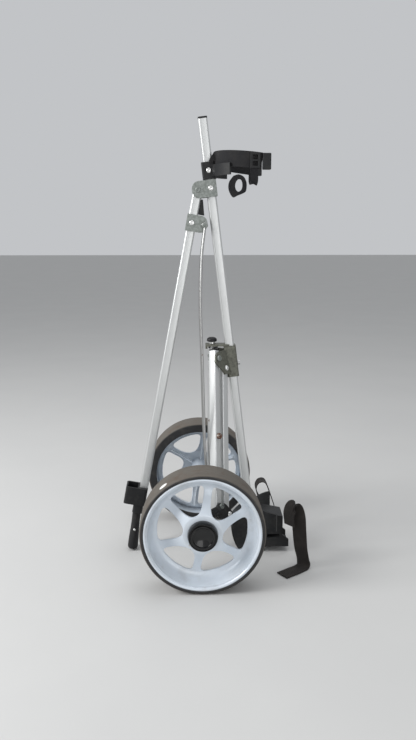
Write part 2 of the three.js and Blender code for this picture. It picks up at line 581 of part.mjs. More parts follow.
/** The wheel rim: barrel, outer lip, dished spoke disc and hub, turned about Y with Y outwards. */
function wheelRim(turn) {
  const half = TYRE_WIDTH / 2;
  const inside = RIM_BARREL_R - RIM_WALL;
  const barrel = turned([[inside, 3 - half], [RIM_BARREL_R, 3 - half], [RIM_BARREL_R, half - 3],
    [RIM_LIP_R, half - 3], [RIM_LIP_R, half], [inside + 2, half], [inside, half - 4], [inside, 3 - half]], 40);
  const disc = turned([[14, 22], [40, 22], [inside + 2, -8], [inside + 2, -8 + DISH_THICKNESS],
    [44, 22 + DISH_THICKNESS], [14, 22 + DISH_THICKNESS + 3], [14, 22]], 40);
  const hub = turned([[0, 8 - half], [HUB_R, 8 - half], [HUB_R + 4, 24], [0, 24]], 16);
  const openings = Array.from({ length: SPOKES }, (_, i) =>
    prism(spokeOpening(), 80, 3).rotateX(-Math.PI / 2).translate(0, -40, 0)
      .rotateY(turn + (i + 0.5) * (2 * Math.PI / SPOKES)));
  const bore = new THREE.CylinderGeometry(AXLE_R + GAP + 3, AXLE_R + GAP + 3, 200, 16);
  return cut(join(cut(join(barrel, disc), ...openings), hub), bore);
}

function tyre() {
  const half = TYRE_WIDTH / 2;
  const seat = RIM_BARREL_R + GAP;
  const profile = [[RIM_BARREL_R - RIM_WALL - 1, -half], [TYRE_R - 5, -half], [TYRE_R - 1.5, 8 - half], [TYRE_R, 22 - half],
    [TYRE_R, half - 22], [TYRE_R - 1.5, half - 8], [TYRE_R - 5, half], [RIM_LIP_R + GAP, half],
    [RIM_LIP_R + GAP, half - 3 - GAP], [seat, half - 3 - GAP], [seat, 3 - half - GAP],
    [RIM_BARREL_R - RIM_WALL - 1, 3 - half - GAP], [RIM_BARREL_R - RIM_WALL - 1, -half]];
  return turned(profile, 40);
}

function addWheel(name, side) {
  const wheel = new THREE.Group();
  wheel.position.set(0, side * HALF_TRACK, TYRE_R);
  wheel.rotation.x = side < 0 ? Math.PI : 0;
  const spokeTurn = side < 0 ? SPOKE_PHASE : -SPOKE_PHASE;
  trolley.add(wheel);
  piece(wheel, `${name}_wheel_rim`, wheelRim(spokeTurn), RIM_SILVER);
  piece(wheel, `${name}_tyre`, tyre(), RUBBER);
  const face = 22 + DISH_THICKNESS + 3 + GAP;
  const cap = turned([[0, face], [HUB_CAP_R, face], [HUB_CAP_R, face + 4], [HUB_CAP_R - 3, face + 14],
    [HUB_CAP_R - 5, face + 17], [23, face + 17], [21, face + 13], [0, face + 13]], 24);
  piece(wheel, `${name}_hub_cap`, cap, GLOSS_BLACK);
  const bush = turned([[AXLE_R + GAP, 8.3 - TYRE_WIDTH / 2], [AXLE_R + 3, 8.3 - TYRE_WIDTH / 2],
    [AXLE_R + 3, 30], [AXLE_R + GAP, 30], [AXLE_R + GAP, 8.3 - TYRE_WIDTH / 2]], 16);
  piece(wheel, `${name}_wheel_bush`, bush, BLACK_PLASTIC);
  const axle = pin(v(0, side * (AXLE_INNER - 4), TYRE_R), v(0, side * (HALF_TRACK + 30), TYRE_R), AXLE_R, 14);
  const nut = pin(v(0, side * (AXLE_INNER - 8), TYRE_R), v(0, side * (AXLE_INNER + 2 - GAP), TYRE_R), 10, 6);
  piece(trolley, `${name}_axle`, join(axle, nut), STEEL);
}

// ---------------------------------------------------------------- upper bag bracket
/** A flat sector of a ring about a centre, opening towards +X, from Z = 0 upwards. */
function ringSector(centre, radius, wall, spread, height, curveSegments = 20) {
  const shape = new THREE.Shape();
  shape.absarc(centre, 0, radius + wall, Math.PI - spread, Math.PI + spread);
  shape.absarc(centre, 0, radius, Math.PI + spread, Math.PI - spread, true);
  shape.closePath();
  return prism(shape, height, curveSegments);
}

const UPPER_CENTRE = { x: 136, z: 984 };
const PAD_SPREAD = 91 * DEG;
const STRAP_END_DROP = 8;
const BUCKLE_AT = { x: 122, z: 978 };
const STRAP_LOOP_AT = v(60, -94, 917);
const STRAP_LOOP = [[0, 0], [20, -22], [38, -16], [44, 14], [26, 24], [6, 18]];
const STRAP_LOOP_HOLE = [[15, 0], [24, -12], [32, -8], [34, 10], [24, 16]];
const STRAP_LOOP_THICK = 8;
const PAD_BASE = UPPER_CENTRE.z - WEBBING / 2;

function addUpperBracket() {
  const at = UPPER_BRACKET_AT;
  const depth = TUBE_D / 2 + GAP + 5;
  const sleeve = prism(roundedRect(TUBE_W + 10, 2 * depth, 4), 40, 2).translate(0, 0, at - 20);
  const armRadius = BAG_R + STRAP_THICK + GAP;
  const arms = ringSector(UPPER_CENTRE.x, armRadius, 6, 50 * DEG, 26, 12).translate(0, 0, 949);
  const bridge = block(25, 42, -10, 10, 952, 970);
  const whole = join(sleeve.applyMatrix4(mast.matrixWorld), arms, bridge);
  const tubeRoom = tubeEnvelope(at - 80, at + 80).applyMatrix4(mast.matrixWorld);
  const cheek = depth + GAP;
  const rivetRoom = pin(onMast(0, -cheek - 9, at), onMast(0, cheek + 9, at), RIVET_R + GAP, 10);
  const headRoom = [-1, 1].map((k) =>
    pin(onMast(0, k * depth, at), onMast(0, k * (depth + 9), at), RIVET_HEAD_R + 1, 14));
  const padDepth = STRAP_THICK + 8 + GAP;
  const padRoom = ringSector(UPPER_CENTRE.x, BAG_R - 8, padDepth, 70 * DEG, 60, 16)
    .translate(0, 0, PAD_BASE - GAP);
  piece(trolley, 'upper_bracket', cut(whole, tubeRoom, rivetRoom, padRoom, ...headRoom), BLACK_PLASTIC);
  piece(mast, 'upper_bracket_rivet', rivet(depth), STEEL).position.z = at;

  const pad = ringSector(UPPER_CENTRE.x, BAG_R, STRAP_THICK, PAD_SPREAD, WEBBING, 20).translate(0, 0, PAD_BASE);
  piece(trolley, 'upper_bag_pad', pad, WEBBING_BLACK);
  for (const [name, side] of SIDES) {
    const reach = Math.PI - PAD_SPREAD;
    const tip = v(UPPER_CENTRE.x + BAG_R * Math.cos(reach), side * (BAG_R + 1) * Math.sin(reach), PAD_BASE - STRAP_END_DROP);
    const end = block(1, 20, -7, 7, 0, WEBBING);
    piece(trolley, `${name}_upper_strap_end`, end.translate(tip.x, tip.y, tip.z), BLACK_PLASTIC);
  }
  const slots = [block(-6, 6, -8, 0, -12, -2), block(-6, 6, -8, 0, 2, 12)];
  const buckle = cut(block(-11, 11, -6, -2, -17, 17), ...slots);
  const outer = BAG_R + STRAP_THICK;
  const buckleAt = v(BUCKLE_AT.x, 1.7 - GAP - outer, BUCKLE_AT.z);
  piece(trolley, 'upper_buckle', buckle.translate(...buckleAt), BLACK_PLASTIC);

  const loop = new THREE.Shape(STRAP_LOOP.map(([x, z]) => new THREE.Vector2(x, z)));
  loop.holes.push(new THREE.Path(STRAP_LOOP_HOLE.map(([x, z]) => new THREE.Vector2(x, z))));
  const strap = prism(loop, STRAP_LOOP_THICK).rotateX(Math.PI / 2).translate(...STRAP_LOOP_AT);
  piece(trolley, 'upper_strap_loop', strap, WEBBING_BLACK);
}

// ---------------------------------------------------------------- lower bag bracket
const LOWER_CENTRE_X = 232;
const LOWER_R = 84;
const LOWER_CRADLE_SPREAD = 62 * DEG;
const LOWER_CRADLE_WALL = 6;
const LOWER_CRADLE_HEIGHT = 46;
const LOWER_CRADLE_BASE = 78;
const LOWER_CRADLE_R = LOWER_R + GAP + STRAP_THICK;
const LOWER_CRADLE_REACH = (LOWER_CRADLE_R + LOWER_CRADLE_WALL) * Math.sin(LOWER_CRADLE_SPREAD);
const RIGHT_STRAP = [[221, -93, 100], [218, -95, 130], [224, -98, 150], [234, -101, 152], [241, -103, 128],
  [244, -104, 88], [248, -106, 46], [254, -110, 14], [250, -123, 3], [222, -146, 3], [194, -166, 3]];
const RIGHT_STRAP_WIDTHS = [[0.6, -0.8], [0.62, -0.78], [0.7, -0.7], [0.8, -0.6], [0.86, -0.5], [0.86, -0.5],
  [0.8, -0.6], [0.7, -0.7], [0.66, -0.75], [0.62, -0.78], [0.6, -0.8]];
const LEFT_STRAP_PATH = [[170, 90], [158, 112], [154, 132], [162, 147], [178, 147], [189, 124], [198, 98], [204, 80]];

function addLowerBracket() {
  const side = new THREE.Shape();
  side.moveTo(104, 0);
  side.lineTo(128, 0);
  side.quadraticCurveTo(140, 14, 165, 15);
  side.lineTo(228, 15);
  side.lineTo(228, 34);
  side.lineTo(212, 48);
  side.lineTo(212, 98);
  side.lineTo(146, 112);
  side.lineTo(110, 112);
  side.quadraticCurveTo(78, 90, 79, 62);
  side.quadraticCurveTo(84, 24, 104, 0);
  const slot = [[172, 40], [204, 40], [204, 50], [172, 50]];
  side.holes.push(new THREE.Path(slot.map(([x, z]) => new THREE.Vector2(x, z))));
  const body = prism(side, 64, 8).rotateX(Math.PI / 2).translate(0, 32, 0);
  const hollow = block(150, 240, -26, 26, 22, 90);
  const tubeRoom = tubeEnvelope(MAIN_BOTTOM - GAP, 400).applyMatrix4(mast.matrixWorld);
  const arc = [LOWER_CENTRE_X, LOWER_CRADLE_R, LOWER_CRADLE_WALL, LOWER_CRADLE_SPREAD];
  const cradle = ringSector(...arc, LOWER_CRADLE_HEIGHT, 14).translate(0, 0, LOWER_CRADLE_BASE);
  const rivetRoom = pin(onMast(0, -40, LOWER_BRACKET_AT), onMast(0, 40, LOWER_BRACKET_AT), RIVET_R + GAP, 12);
  const rivetSeats = [-1, 1].map((k) =>
    pin(onMast(0, k * 18, LOWER_BRACKET_AT), onMast(0, k * 50, LOWER_BRACKET_AT), RIVET_HEAD_R + 2, 20));
  const shell = join(cut(body, hollow), cradle);
  piece(trolley, 'lower_bracket', cut(shell, tubeRoom, rivetRoom, ...rivetSeats), BLACK_PLASTIC);
  piece(mast, 'lower_bracket_rivet', rivet(18), STEEL).position.z = LOWER_BRACKET_AT;

  const right = RIGHT_STRAP.map(([x, y, z]) => v(x, y, z));
  const wide = RIGHT_STRAP_WIDTHS.map(([x, y]) => v(x, y, 0));
  piece(trolley, 'lower_strap_right', band(right, wide, WEBBING, STRAP_THICK), WEBBING_BLACK);
  const leftAt = LOWER_CRADLE_REACH + GAP + WEBBING / 2;
  const left = LEFT_STRAP_PATH.map(([x, z]) => v(x, leftAt, z));
  piece(trolley, 'lower_strap_left', band(left, left.map(() => v(0, 1, 0)), WEBBING, STRAP_THICK), WEBBING_BLACK);
}

// ---------------------------------------------------------------- assembly
addMainTube();
addHandleHinge();
addHandle();
addLegCasting();
addLockKnob();
addUpperBracket();
addLowerBracket();
const drawEar = v(EAR_OFFSET, 0, -DRAW_CASTING_AT).applyMatrix4(handle.matrixWorld);
for (const [name, side] of SIDES) {
  addLeg(name, side);
  addWheel(name, side);
  const ear = drawEar.clone().add(v(0, side * ROD_Y, 0));
  addDrawRod(`${name}_draw_rod`, side, ear, onLeg(side, 0, LEG_LENGTH, -LEG_FACE - ROD_FOOT_CLEARANCE));
}

// The part's origin is the middle of its footprint, on the ground.
const extent = new THREE.Box3().setFromObject(trolley);
trolley.position.x = -(extent.min.x + extent.max.x) / 2;
const part = new THREE.Group();
part.add(trolley);

export default part;
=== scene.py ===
"""A folding two-wheel golf pull trolley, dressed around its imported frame.

Every length is in metres and lies in the frame's own axes: +X from the folded handle towards
the bag, +Y to the left wheel, +Z up.
"""

import logging
import math
from collections.abc import Sequence
from dataclasses import dataclass
from enum import Enum

import bmesh
import bpy
from mathutils import Matrix, Vector


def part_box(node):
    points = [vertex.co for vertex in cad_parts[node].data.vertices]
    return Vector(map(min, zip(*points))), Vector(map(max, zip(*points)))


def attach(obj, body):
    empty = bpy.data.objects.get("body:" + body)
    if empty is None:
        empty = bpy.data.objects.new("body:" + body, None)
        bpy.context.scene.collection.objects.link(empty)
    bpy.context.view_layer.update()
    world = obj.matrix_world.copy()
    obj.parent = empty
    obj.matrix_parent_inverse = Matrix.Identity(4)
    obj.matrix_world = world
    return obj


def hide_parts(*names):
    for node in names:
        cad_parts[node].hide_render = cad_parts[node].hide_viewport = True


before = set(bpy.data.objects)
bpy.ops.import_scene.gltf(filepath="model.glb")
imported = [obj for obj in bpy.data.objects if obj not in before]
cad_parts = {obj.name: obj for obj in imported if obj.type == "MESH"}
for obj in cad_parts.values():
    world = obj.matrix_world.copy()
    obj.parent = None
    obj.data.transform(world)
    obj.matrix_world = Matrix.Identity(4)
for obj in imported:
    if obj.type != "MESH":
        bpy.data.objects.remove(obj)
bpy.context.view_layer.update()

log = logging.getLogger("trolley")

MM = 0.001
FULL_TURN = 2 * math.pi
FACING_ANGLE = math.radians(38)

Socket = bpy.types.NodeSocket
Mesh = bmesh.types.BMesh
Pair = tuple[float, float]
Colour = tuple[float, float, float]


class Side(Enum):
    """The two sides of the trolley; right is the one nearer the camera."""

    RIGHT = "right"
    LEFT = "left"

    @property
    def mirror(self) -> Matrix:
        """The matrix that carries a right-hand piece to this side."""
        return Matrix.Identity(4) if self is Side.RIGHT else Matrix.Diagonal((1, -1, 1, 1))


# ---------------------------------------------------------------- places


def mm(x: float, y: float, z: float) -> Vector:
    """A vector given in millimetres."""
    return Vector((x, y, z)) * MM


@dataclass(frozen=True)
class Layout:
    """The directions and heights that the pieces are placed by.

    Attributes:
        axle_x: Where the wheel axles lie along X.
        lean: How far the main tube leans back from upright.
        base: How far ahead of the axles the main tube's axis meets the ground.
        fold: The angle between the main tube and the folded handle.
        ear: How far the hinge pins lie from the middle of their tube.
        hinge_height: The handle hinge's height along the main tube.
        splay: How far the legs lean out.
        swivel: How far the legs' pins are turned out from the front.
        leg_top: The upper rear pivot of the right leg, from the axle line.
    """

    axle_x: float
    lean: float = math.radians(7.03)
    base: float = 139.7 * MM
    fold: float = math.radians(17.76)
    ear: float = 31.4 * MM
    hinge_height: float = 929 * MM
    splay: float = math.radians(16)
    swivel: float = math.radians(45)
    leg_top: tuple[float, float, float] = (33.0, -29.0, 513.0)

    @property
    def origin(self) -> Matrix:
        """The place on the ground below the middle of the axles."""
        return Matrix.Translation((self.axle_x, 0, 0))

    @property
    def mast(self) -> Matrix:
        """The main tube's frame: ahead of it, across, and up along it."""
        foot = Matrix.Translation((self.base, 0, 0))
        return self.origin @ foot @ Matrix.Rotation(-self.lean, 4, "Y")

    @property
    def handle(self) -> Matrix:
        """The folded handle's frame: its pivot, with Z up along its tube."""
        pivot = Matrix.Translation((-self.ear, 0, self.hinge_height))
        return self.mast @ pivot @ Matrix.Rotation(self.fold, 4, "Y")

    @property
    def leg(self) -> Matrix:
        """The right leg's frame: across both tubes, out along the pins, and down the leg."""
        down = Vector((0, -math.sin(self.splay), -math.cos(self.splay)))
        out = Vector((math.sin(self.swivel), -math.cos(self.swivel), 0))
        out = (out - down * out.dot(down)).normalized()
        across = out.cross(down)
        turn = Matrix((across, out, down)).transposed().to_4x4()
        return self.origin @ Matrix.Translation(mm(*self.leg_top)) @ turn


# ---------------------------------------------------------------- node materials

SCUFF_GREY = (0.3, 0.3, 0.29)
SPECK_BROWN = (0.06, 0.055, 0.045)
DUST_GREY = (0.085, 0.08, 0.07)
SCRATCH_GREY = (0.14, 0.135, 0.125)
ROAD_DIRT = (0.2, 0.175, 0.14)
SPOT_WHITE = (0.75, 0.75, 0.72)
WEAVE_DUST = (0.07, 0.062, 0.052)


class Shader:
    """A small writer of node materials around one Principled shader."""

    def __init__(self, name: str) -> None:
        """Start an empty material.

        Args:
            name: The material's name.
        """
        self.material = bpy.data.materials.new(name)
        self.material.use_nodes = True
        self.tree = self.material.node_tree
        self.surface = self.tree.nodes["Principled BSDF"]

    def node(self, kind: str, **settings: object) -> bpy.types.Node:
        """Add a node and set its properties.

        Args:
            kind: The node's type without its ShaderNode prefix.
            settings: Properties of the node.

        Returns:
            The new node.
        """
        made = self.tree.nodes.new("ShaderNode" + kind)
        for key, value in settings.items():
            setattr(made, key, value)
        return made

    def link(self, value: Socket | float | Sequence[float], target: Socket) -> None:
        """Feed a socket with another socket or with a fixed value."""
        if isinstance(value, Socket):
            self.tree.links.new(value, target)
        else:
            target.default_value = value

    def set(self, **inputs: float | Sequence[float]) -> None:
        """Set fixed values on the surface's own sockets.

        Args:
            inputs: Socket names with underscores for spaces, and their values.
        """
        for key, value in inputs.items():
            self.surface.inputs[key.replace("_", " ")].default_value = value

    def feed(self, socket: str, value: Socket) -> None:
        """Drive one of the surface's sockets."""
        self.tree.links.new(value, self.surface.inputs[socket])

    def place(self, at: Matrix | None = None, stretch: Sequence[float] = (1, 1, 1)) -> Socket:
        """Object coordinates, seen from a local frame and stretched along its axes.

        Args:
            at: The local frame; the object's own axes when None.
            stretch: How much longer the pattern is along each local axis.

        Returns:
            The vector socket.
        """
        coordinates = self.node("TexCoord").outputs["Object"]
        mapping = self.node("Mapping", vector_type="TEXTURE")
        if at is not None:
            mapping.inputs["Location"].default_value = at.to_translation()
            mapping.inputs["Rotation"].default_value = at.to_euler()
        mapping.inputs["Scale"].default_value = stretch
        self.link(coordinates, mapping.inputs["Vector"])
        return mapping.outputs["Vector"]

    def noise(self, vector: Socket, scale: float, detail: float = 3, rough: float = 0.55) -> Socket:
        """A grey noise of a given scale."""
        made = self.node("TexNoise")
        made.inputs["Scale"].default_value = scale
        made.inputs["Detail"].default_value = detail
        made.inputs["Roughness"].default_value = rough
        self.link(vector, made.inputs["Vector"])
        return made.outputs["Fac"]

    def ramp(self, value: Socket, low: float, high: float) -> Socket:
        """A smooth step from 0 at low to 1 at high."""
        made = self.node("MapRange", interpolation_type="SMOOTHSTEP")
        made.inputs["From Min"].default_value = low
        made.inputs["From Max"].default_value = high
        self.link(value, made.inputs["Value"])
        return made.outputs["Result"]

    def span(self, value: Socket, low: float, high: float) -> Socket:
        """A 0 to 1 value carried to the range from low to high."""
        made = self.node("MapRange")
        made.inputs["To Min"].default_value = low
        made.inputs["To Max"].default_value = high
        self.link(value, made.inputs["Value"])
        return made.outputs["Result"]

    def maths(self, operation: str, first: Socket | float, second: Socket | float = 0.0) -> Socket:
        """One step of arithmetic."""
        made = self.node("Math", operation=operation)
        self.link(first, made.inputs[0])
        self.link(second, made.inputs[1])
        return made.outputs["Value"]

    def times(self, first: Socket | float, second: Socket | float) -> Socket:
        """The product of two values."""
        return self.maths("MULTIPLY", first, second)

    def plus(self, first: Socket | float, second: Socket | float) -> Socket:
        """The sum of two values."""
        return self.maths("ADD", first, second)

    def minus(self, first: Socket | float, second: Socket | float) -> Socket:
        """The first value less the second."""
        return self.maths("SUBTRACT", first, second)

    def length(self, first: Socket, second: Socket) -> Socket:
        """The length of a vector from its two parts."""
        squares = self.plus(self.times(first, first), self.times(second, second))
        return self.maths("SQRT", squares)

    def mix(self, share: Socket | float, first: Socket | Colour, second: Socket | Colour) -> Socket:
        """A colour between two others.

        Args:
            share: How much of the second colour.
            first: A colour or a colour socket.
            second: A colour or a colour socket.

        Returns:
            The colour socket.
        """
        made = self.node("Mix", data_type="RGBA")
        self.link(share, made.inputs["Factor"])
        for value, target in ((first, made.inputs["A"]), (second, made.inputs["B"])):
            chosen = next(s for s in made.inputs if s.name == target.name and s.type == "RGBA")
            self.link(value if isinstance(value, Socket) else (*value, 1.0), chosen)
        return next(s for s in made.outputs if s.type == "RGBA")

    def split(self, vector: Socket) -> tuple[Socket, Socket, Socket]:
        """The three parts of a vector."""
        made = self.node("SeparateXYZ")
        self.link(vector, made.inputs["Vector"])
        return made.outputs["X"], made.outputs["Y"], made.outputs["Z"]

    def bump(self, height: Socket, depth: float, strength: float = 1.0) -> None:
        """Raise the surface's shading by a height map.

        Args:
            height: Heights from 0 to 1.
            depth: The real height of 1, in metres.
            strength: How much of it shows.
        """
        made = self.node("Bump")
        made.inputs["Distance"].default_value = depth
        made.inputs["Strength"].default_value = strength
        self.link(height, made.inputs["Height"])
        self.feed("Normal", made.outputs["Normal"])


@dataclass(frozen=True)
class AnodisedTube:
    """Satin anodised aluminium, drawn lengthwise, with faint scuffs.

    Attributes:
        place: The tube's own frame, with its length along Z.
        colour: The metal's colour.
        roughness: The mean roughness.
    """

    place: Matrix
    colour: Colour = (0.66, 0.67, 0.665)
    roughness: float = 0.36

    def build(self, name: str) -> bpy.types.Material:
        """Make the material."""
        s = Shader(name)
        drawn = s.noise(s.place(self.place, (1, 1, 60)), 2600, 3)
        clouds = s.noise(s.place(self.place, (1, 1, 4)), 22, 4)
        scuffs = s.ramp(s.noise(s.place(self.place, (1, 1, 9)), 260, 5, 0.7), 0.62, 0.76)
        dull = tuple(0.8 * part for part in self.colour)
        clean = s.mix(clouds, self.colour, dull)
        s.feed("Base Color", s.mix(s.times(scuffs, 0.5), clean, SCUFF_GREY))
        streaks = s.times(drawn, s.span(clouds, 0.7, 1.3))
        s.feed("Roughness", s.span(streaks, self.roughness - 0.1, self.roughness + 0.22))
        s.set(Metallic=0.8)
        s.bump(s.minus(drawn, s.times(scuffs, 0.6)), 0.04 * MM)
        return s.material


@dataclass(frozen=True)
class CastMetal:
    """A die casting: mottled, slightly grainy, rubbed brighter here and there.

    Attributes:
        colour: The main colour.
        stain: The colour of the darker mottling.
        metal: How metallic the surface looks.
    """

    colour: Colour
    stain: Colour
    metal: float = 0.45

    def build(self, name: str) -> bpy.types.Material:
        """Make the material."""
        s = Shader(name)
        here = s.place()
        mottle = s.ramp(s.noise(here, 170, 5, 0.6), 0.36, 0.68)
        specks = s.ramp(s.noise(here, 900, 2), 0.6, 0.7)
        grain = s.noise(here, 1900, 4, 0.6)
        colour = s.mix(s.times(mottle, 0.75), self.colour, self.stain)
        s.feed("Base Color", s.mix(s.times(specks, 0.35), colour, SPECK_BROWN))
        s.feed("Roughness", s.span(mottle, 0.42, 0.62))
        s.set(Metallic=self.metal)
        s.bump(s.plus(grain, s.times(mottle, 0.8)), 0.12 * MM)
        return s.material


@dataclass(frozen=True)
class Moulding:
    """Moulded plastic with a fine spark texture and settled dust.

    Attributes:
        colour: The plastic's colour.
        roughness: The clean plastic's roughness.
        dust: How much dust has settled, 0 to 1.
        grain: The depth of the texture, in metres.
        coat: The strength of the gloss layer.
    """

    colour: Colour = (0.0085, 0.009, 0.010)
    roughness: float = 0.46
    dust: float = 0.16
    grain: float = 0.05 * MM
    coat: float = 0.0

    def build(self, name: str) -> bpy.types.Material:
        """Make the material."""
        s = Shader(name)
        here = s.place()
        spark = s.noise(here, 2400, 2)
        settled = s.ramp(s.noise(here, 42, 6, 0.68), 0.42, 0.78)
        scratches = s.ramp(s.noise(s.place(None, (1, 1, 12)), 420, 4, 0.7), 0.66, 0.74)
        dusty = s.times(settled, self.dust)
        marked = s.times(scratches, 0.4 * self.dust)
        colour = s.mix(dusty, self.colour, DUST_GREY)
        s.feed("Base Color", s.mix(marked, colour, SCRATCH_GREY))
        s.feed("Roughness", s.span(dusty, self.roughness, min(1.0, self.roughness + 0.45)))
        s.set(Coat_Weight=self.coat, Coat_Roughness=0.06, Specular_IOR_Level=0.28)
        s.bump(spark, self.grain)
        return s.material


@dataclass(frozen=True)
class RimPaint:
    """The pale silver blue of the moulded rims, with road dirt towards the barrel.

    Attributes:
        centre: The wheel's centre.
        lip: The radius at which the dirt begins to fade.
    """

    centre: Vector
    lip: float = 128 * MM

    def build(self, name: str) -> bpy.types.Material:
        """Make the material."""
        s = Shader(name)
        local = s.place(Matrix.Translation(self.centre))
        x, _, z = s.split(local)
        radius = s.length(x, z)
        outer = s.ramp(radius, 0.6 * self.lip, self.lip)
        cloud = s.ramp(s.noise(local, 16, 6, 0.62), 0.44, 0.7)
        smears = s.ramp(s.noise(local, 75, 5, 0.7), 0.56, 0.74)
        dirt = s.times(s.times(cloud, s.span(outer, 0.12, 0.8)), s.span(smears, 0.35, 1.0))
        tone = s.mix(s.noise(local, 9, 3), (0.56, 0.62, 0.69), (0.67, 0.72, 0.77))
        s.feed("Base Color", s.mix(s.times(dirt, 0.85), tone, ROAD_DIRT))
        s.feed("Roughness", s.span(s.maths("MAXIMUM", dirt, s.times(smears, 0.4)), 0.3, 0.62))
        s.set(Metallic=0.12, Coat_Weight=0.25, Coat_Roughness=0.25)
        s.bump(s.noise(local, 700, 3), 0.03 * MM)
        return s.material


@dataclass(frozen=True)
class TyreRubber:
    """Black rubber whose tread has worn to a dusty grey brown.

    Attributes:
        centre: The wheel's centre.
        radius: The tyre's outer radius.
        spot: A pale scuff on the tread: its angle in the wheel's plane and its place along Y,
            or None for a tread without one.
    """

    centre: Vector
    radius: float
    spot: Pair | None = None

    def build(self, name: str) -> bpy.types.Material:
        """Make the material."""
        s = Shader(name)
        local = s.place(Matrix.Translation(self.centre))
        x, y, z = s.split(local)
        radius = s.length(x, z)
        tread = s.ramp(radius, self.radius - 4.2 * MM, self.radius - 1.2 * MM)
        around = s.noise(s.place(Matrix.Translation(self.centre), (9, 1, 9)), 420, 4, 0.6)
        patches = s.noise(local, 26, 5, 0.6)
        worn = s.mix(around, (0.06, 0.053, 0.045), (0.15, 0.135, 0.115))
        worn = s.mix(s.ramp(patches, 0.45, 0.75), worn, (0.09, 0.066, 0.05))
        stained = s.ramp(s.noise(local, 60, 5), 0.45, 0.8)
        side = s.mix(stained, (0.011, 0.011, 0.012), (0.035, 0.032, 0.028))
        colour = s.mix(tread, side, worn)
        if self.spot is not None:
            angle, across = self.spot
            dx = s.minus(x, self.radius * math.cos(angle))
            dz = s.minus(z, self.radius * math.sin(angle))
            along = s.length(dx, dz)
            wide = s.times(s.minus(y, across), 1.3)
            away = s.length(along, wide)
            colour = s.mix(s.ramp(away, 12 * MM, 9 * MM), colour, SPOT_WHITE)
        s.feed("Base Color", colour)
        s.feed("Roughness", s.span(tread, 0.5, 0.86))
        s.bump(s.plus(s.noise(local, 1300, 3), s.times(around, 0.9)), 0.14 * MM)
        return s.material


@dataclass(frozen=True)
class Steel:
    """Bright plated steel, or with rust on it.

    Attributes:
        colour: The metal's colour.
        rust: How much of it has rusted, 0 to 1.
        roughness: The clean metal's roughness.
    """

    colour: Colour = (0.7, 0.7, 0.69)
    rust: float = 0.0
    roughness: float = 0.24

    def build(self, name: str) -> bpy.types.Material:
        """Make the material."""
        s = Shader(name)
        here = s.place()
        clouds = s.noise(here, 160, 6, 0.65)
        rusted = s.ramp(clouds, 0.72 - 0.5 * self.rust, 0.8 - 0.4 * self.rust)
        brown = s.mix(s.noise(here, 700, 4), (0.16, 0.062, 0.03), (0.07, 0.035, 0.025))
        s.feed("Base Color", s.mix(rusted, self.colour, brown))
        s.feed("Metallic", s.span(rusted, 1.0, 0.1))
        s.feed("Roughness", s.span(rusted, self.roughness, 0.85))
        s.bump(s.plus(s.noise(here, 1500, 3), rusted), (0.02 + 0.2 * self.rust) * MM)
        return s.material


@dataclass(frozen=True)
class Webbing:
    """Black woven polypropylene webbing; the weave follows the strap's own map.

    Attributes:
        colour: The yarn's colour.
        rib: The spacing of the ribs across the strap, in metres.
        pick: The spacing of the picks along the strap, in metres.
        dust: How much dust has settled, 0 to 1.
    """

    colour: Colour = (0.008, 0.008, 0.009)
    rib: float = 1.5 * MM
    pick: float = 1.1 * MM
    dust: float = 0.15

    def build(self, name: str) -> bpy.types.Material:
        """Make the material."""
        s = Shader(name)
        across, along, _ = s.split(s.node("UVMap", uv_map=WEAVE_MAP).outputs["UV"])
        column = s.times(across, FULL_TURN / self.rib)
        chevron = s.times(s.maths("ABSOLUTE", s.maths("SINE", s.times(column, 0.25))), 1.6)
        row = s.plus(s.times(along, FULL_TURN / self.pick), chevron)
        ridge = s.maths("ABSOLUTE", s.maths("SINE", s.times(column, 0.5)))
        yarn = s.times(ridge, s.plus(s.times(s.maths("SINE", row), 0.5), 0.5))
        here = s.place()
        fuzz = s.noise(here, 1500, 3)
        settled = s.times(s.ramp(s.noise(here, 30, 6, 0.65), 0.42, 0.75), self.dust)
        bright = tuple(2.6 * part for part in self.colour)
        colour = s.mix(s.times(yarn, s.span(fuzz, 0.5, 1.2)), self.colour, bright)
        s.feed("Base Color", s.mix(settled, colour, WEAVE_DUST))
        s.feed("Roughness", s.span(fuzz, 0.62, 0.88))
        s.set(Sheen_Weight=0.06, Sheen_Roughness=0.5, Specular_IOR_Level=0.2)
        s.bump(s.plus(yarn, s.times(fuzz, 0.25)), 0.32 * MM, 0.9)
        return s.material


WEAVE_MAP = "weave"

# ---------------------------------------------------------------- making pieces


@dataclass(frozen=True)
class Seat:
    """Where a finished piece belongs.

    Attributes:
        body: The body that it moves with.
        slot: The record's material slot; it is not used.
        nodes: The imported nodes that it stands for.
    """

    body: str
    slot: str
    nodes: tuple[str, ...] = ()

    def on(self, side: Side) -> "Seat":
        """The same seat with a side's name put where an asterisk stands."""
        named = tuple(node.replace("*", side.value) for node in self.nodes)
        return Seat(self.body.replace("*", side.value), self.slot, named)


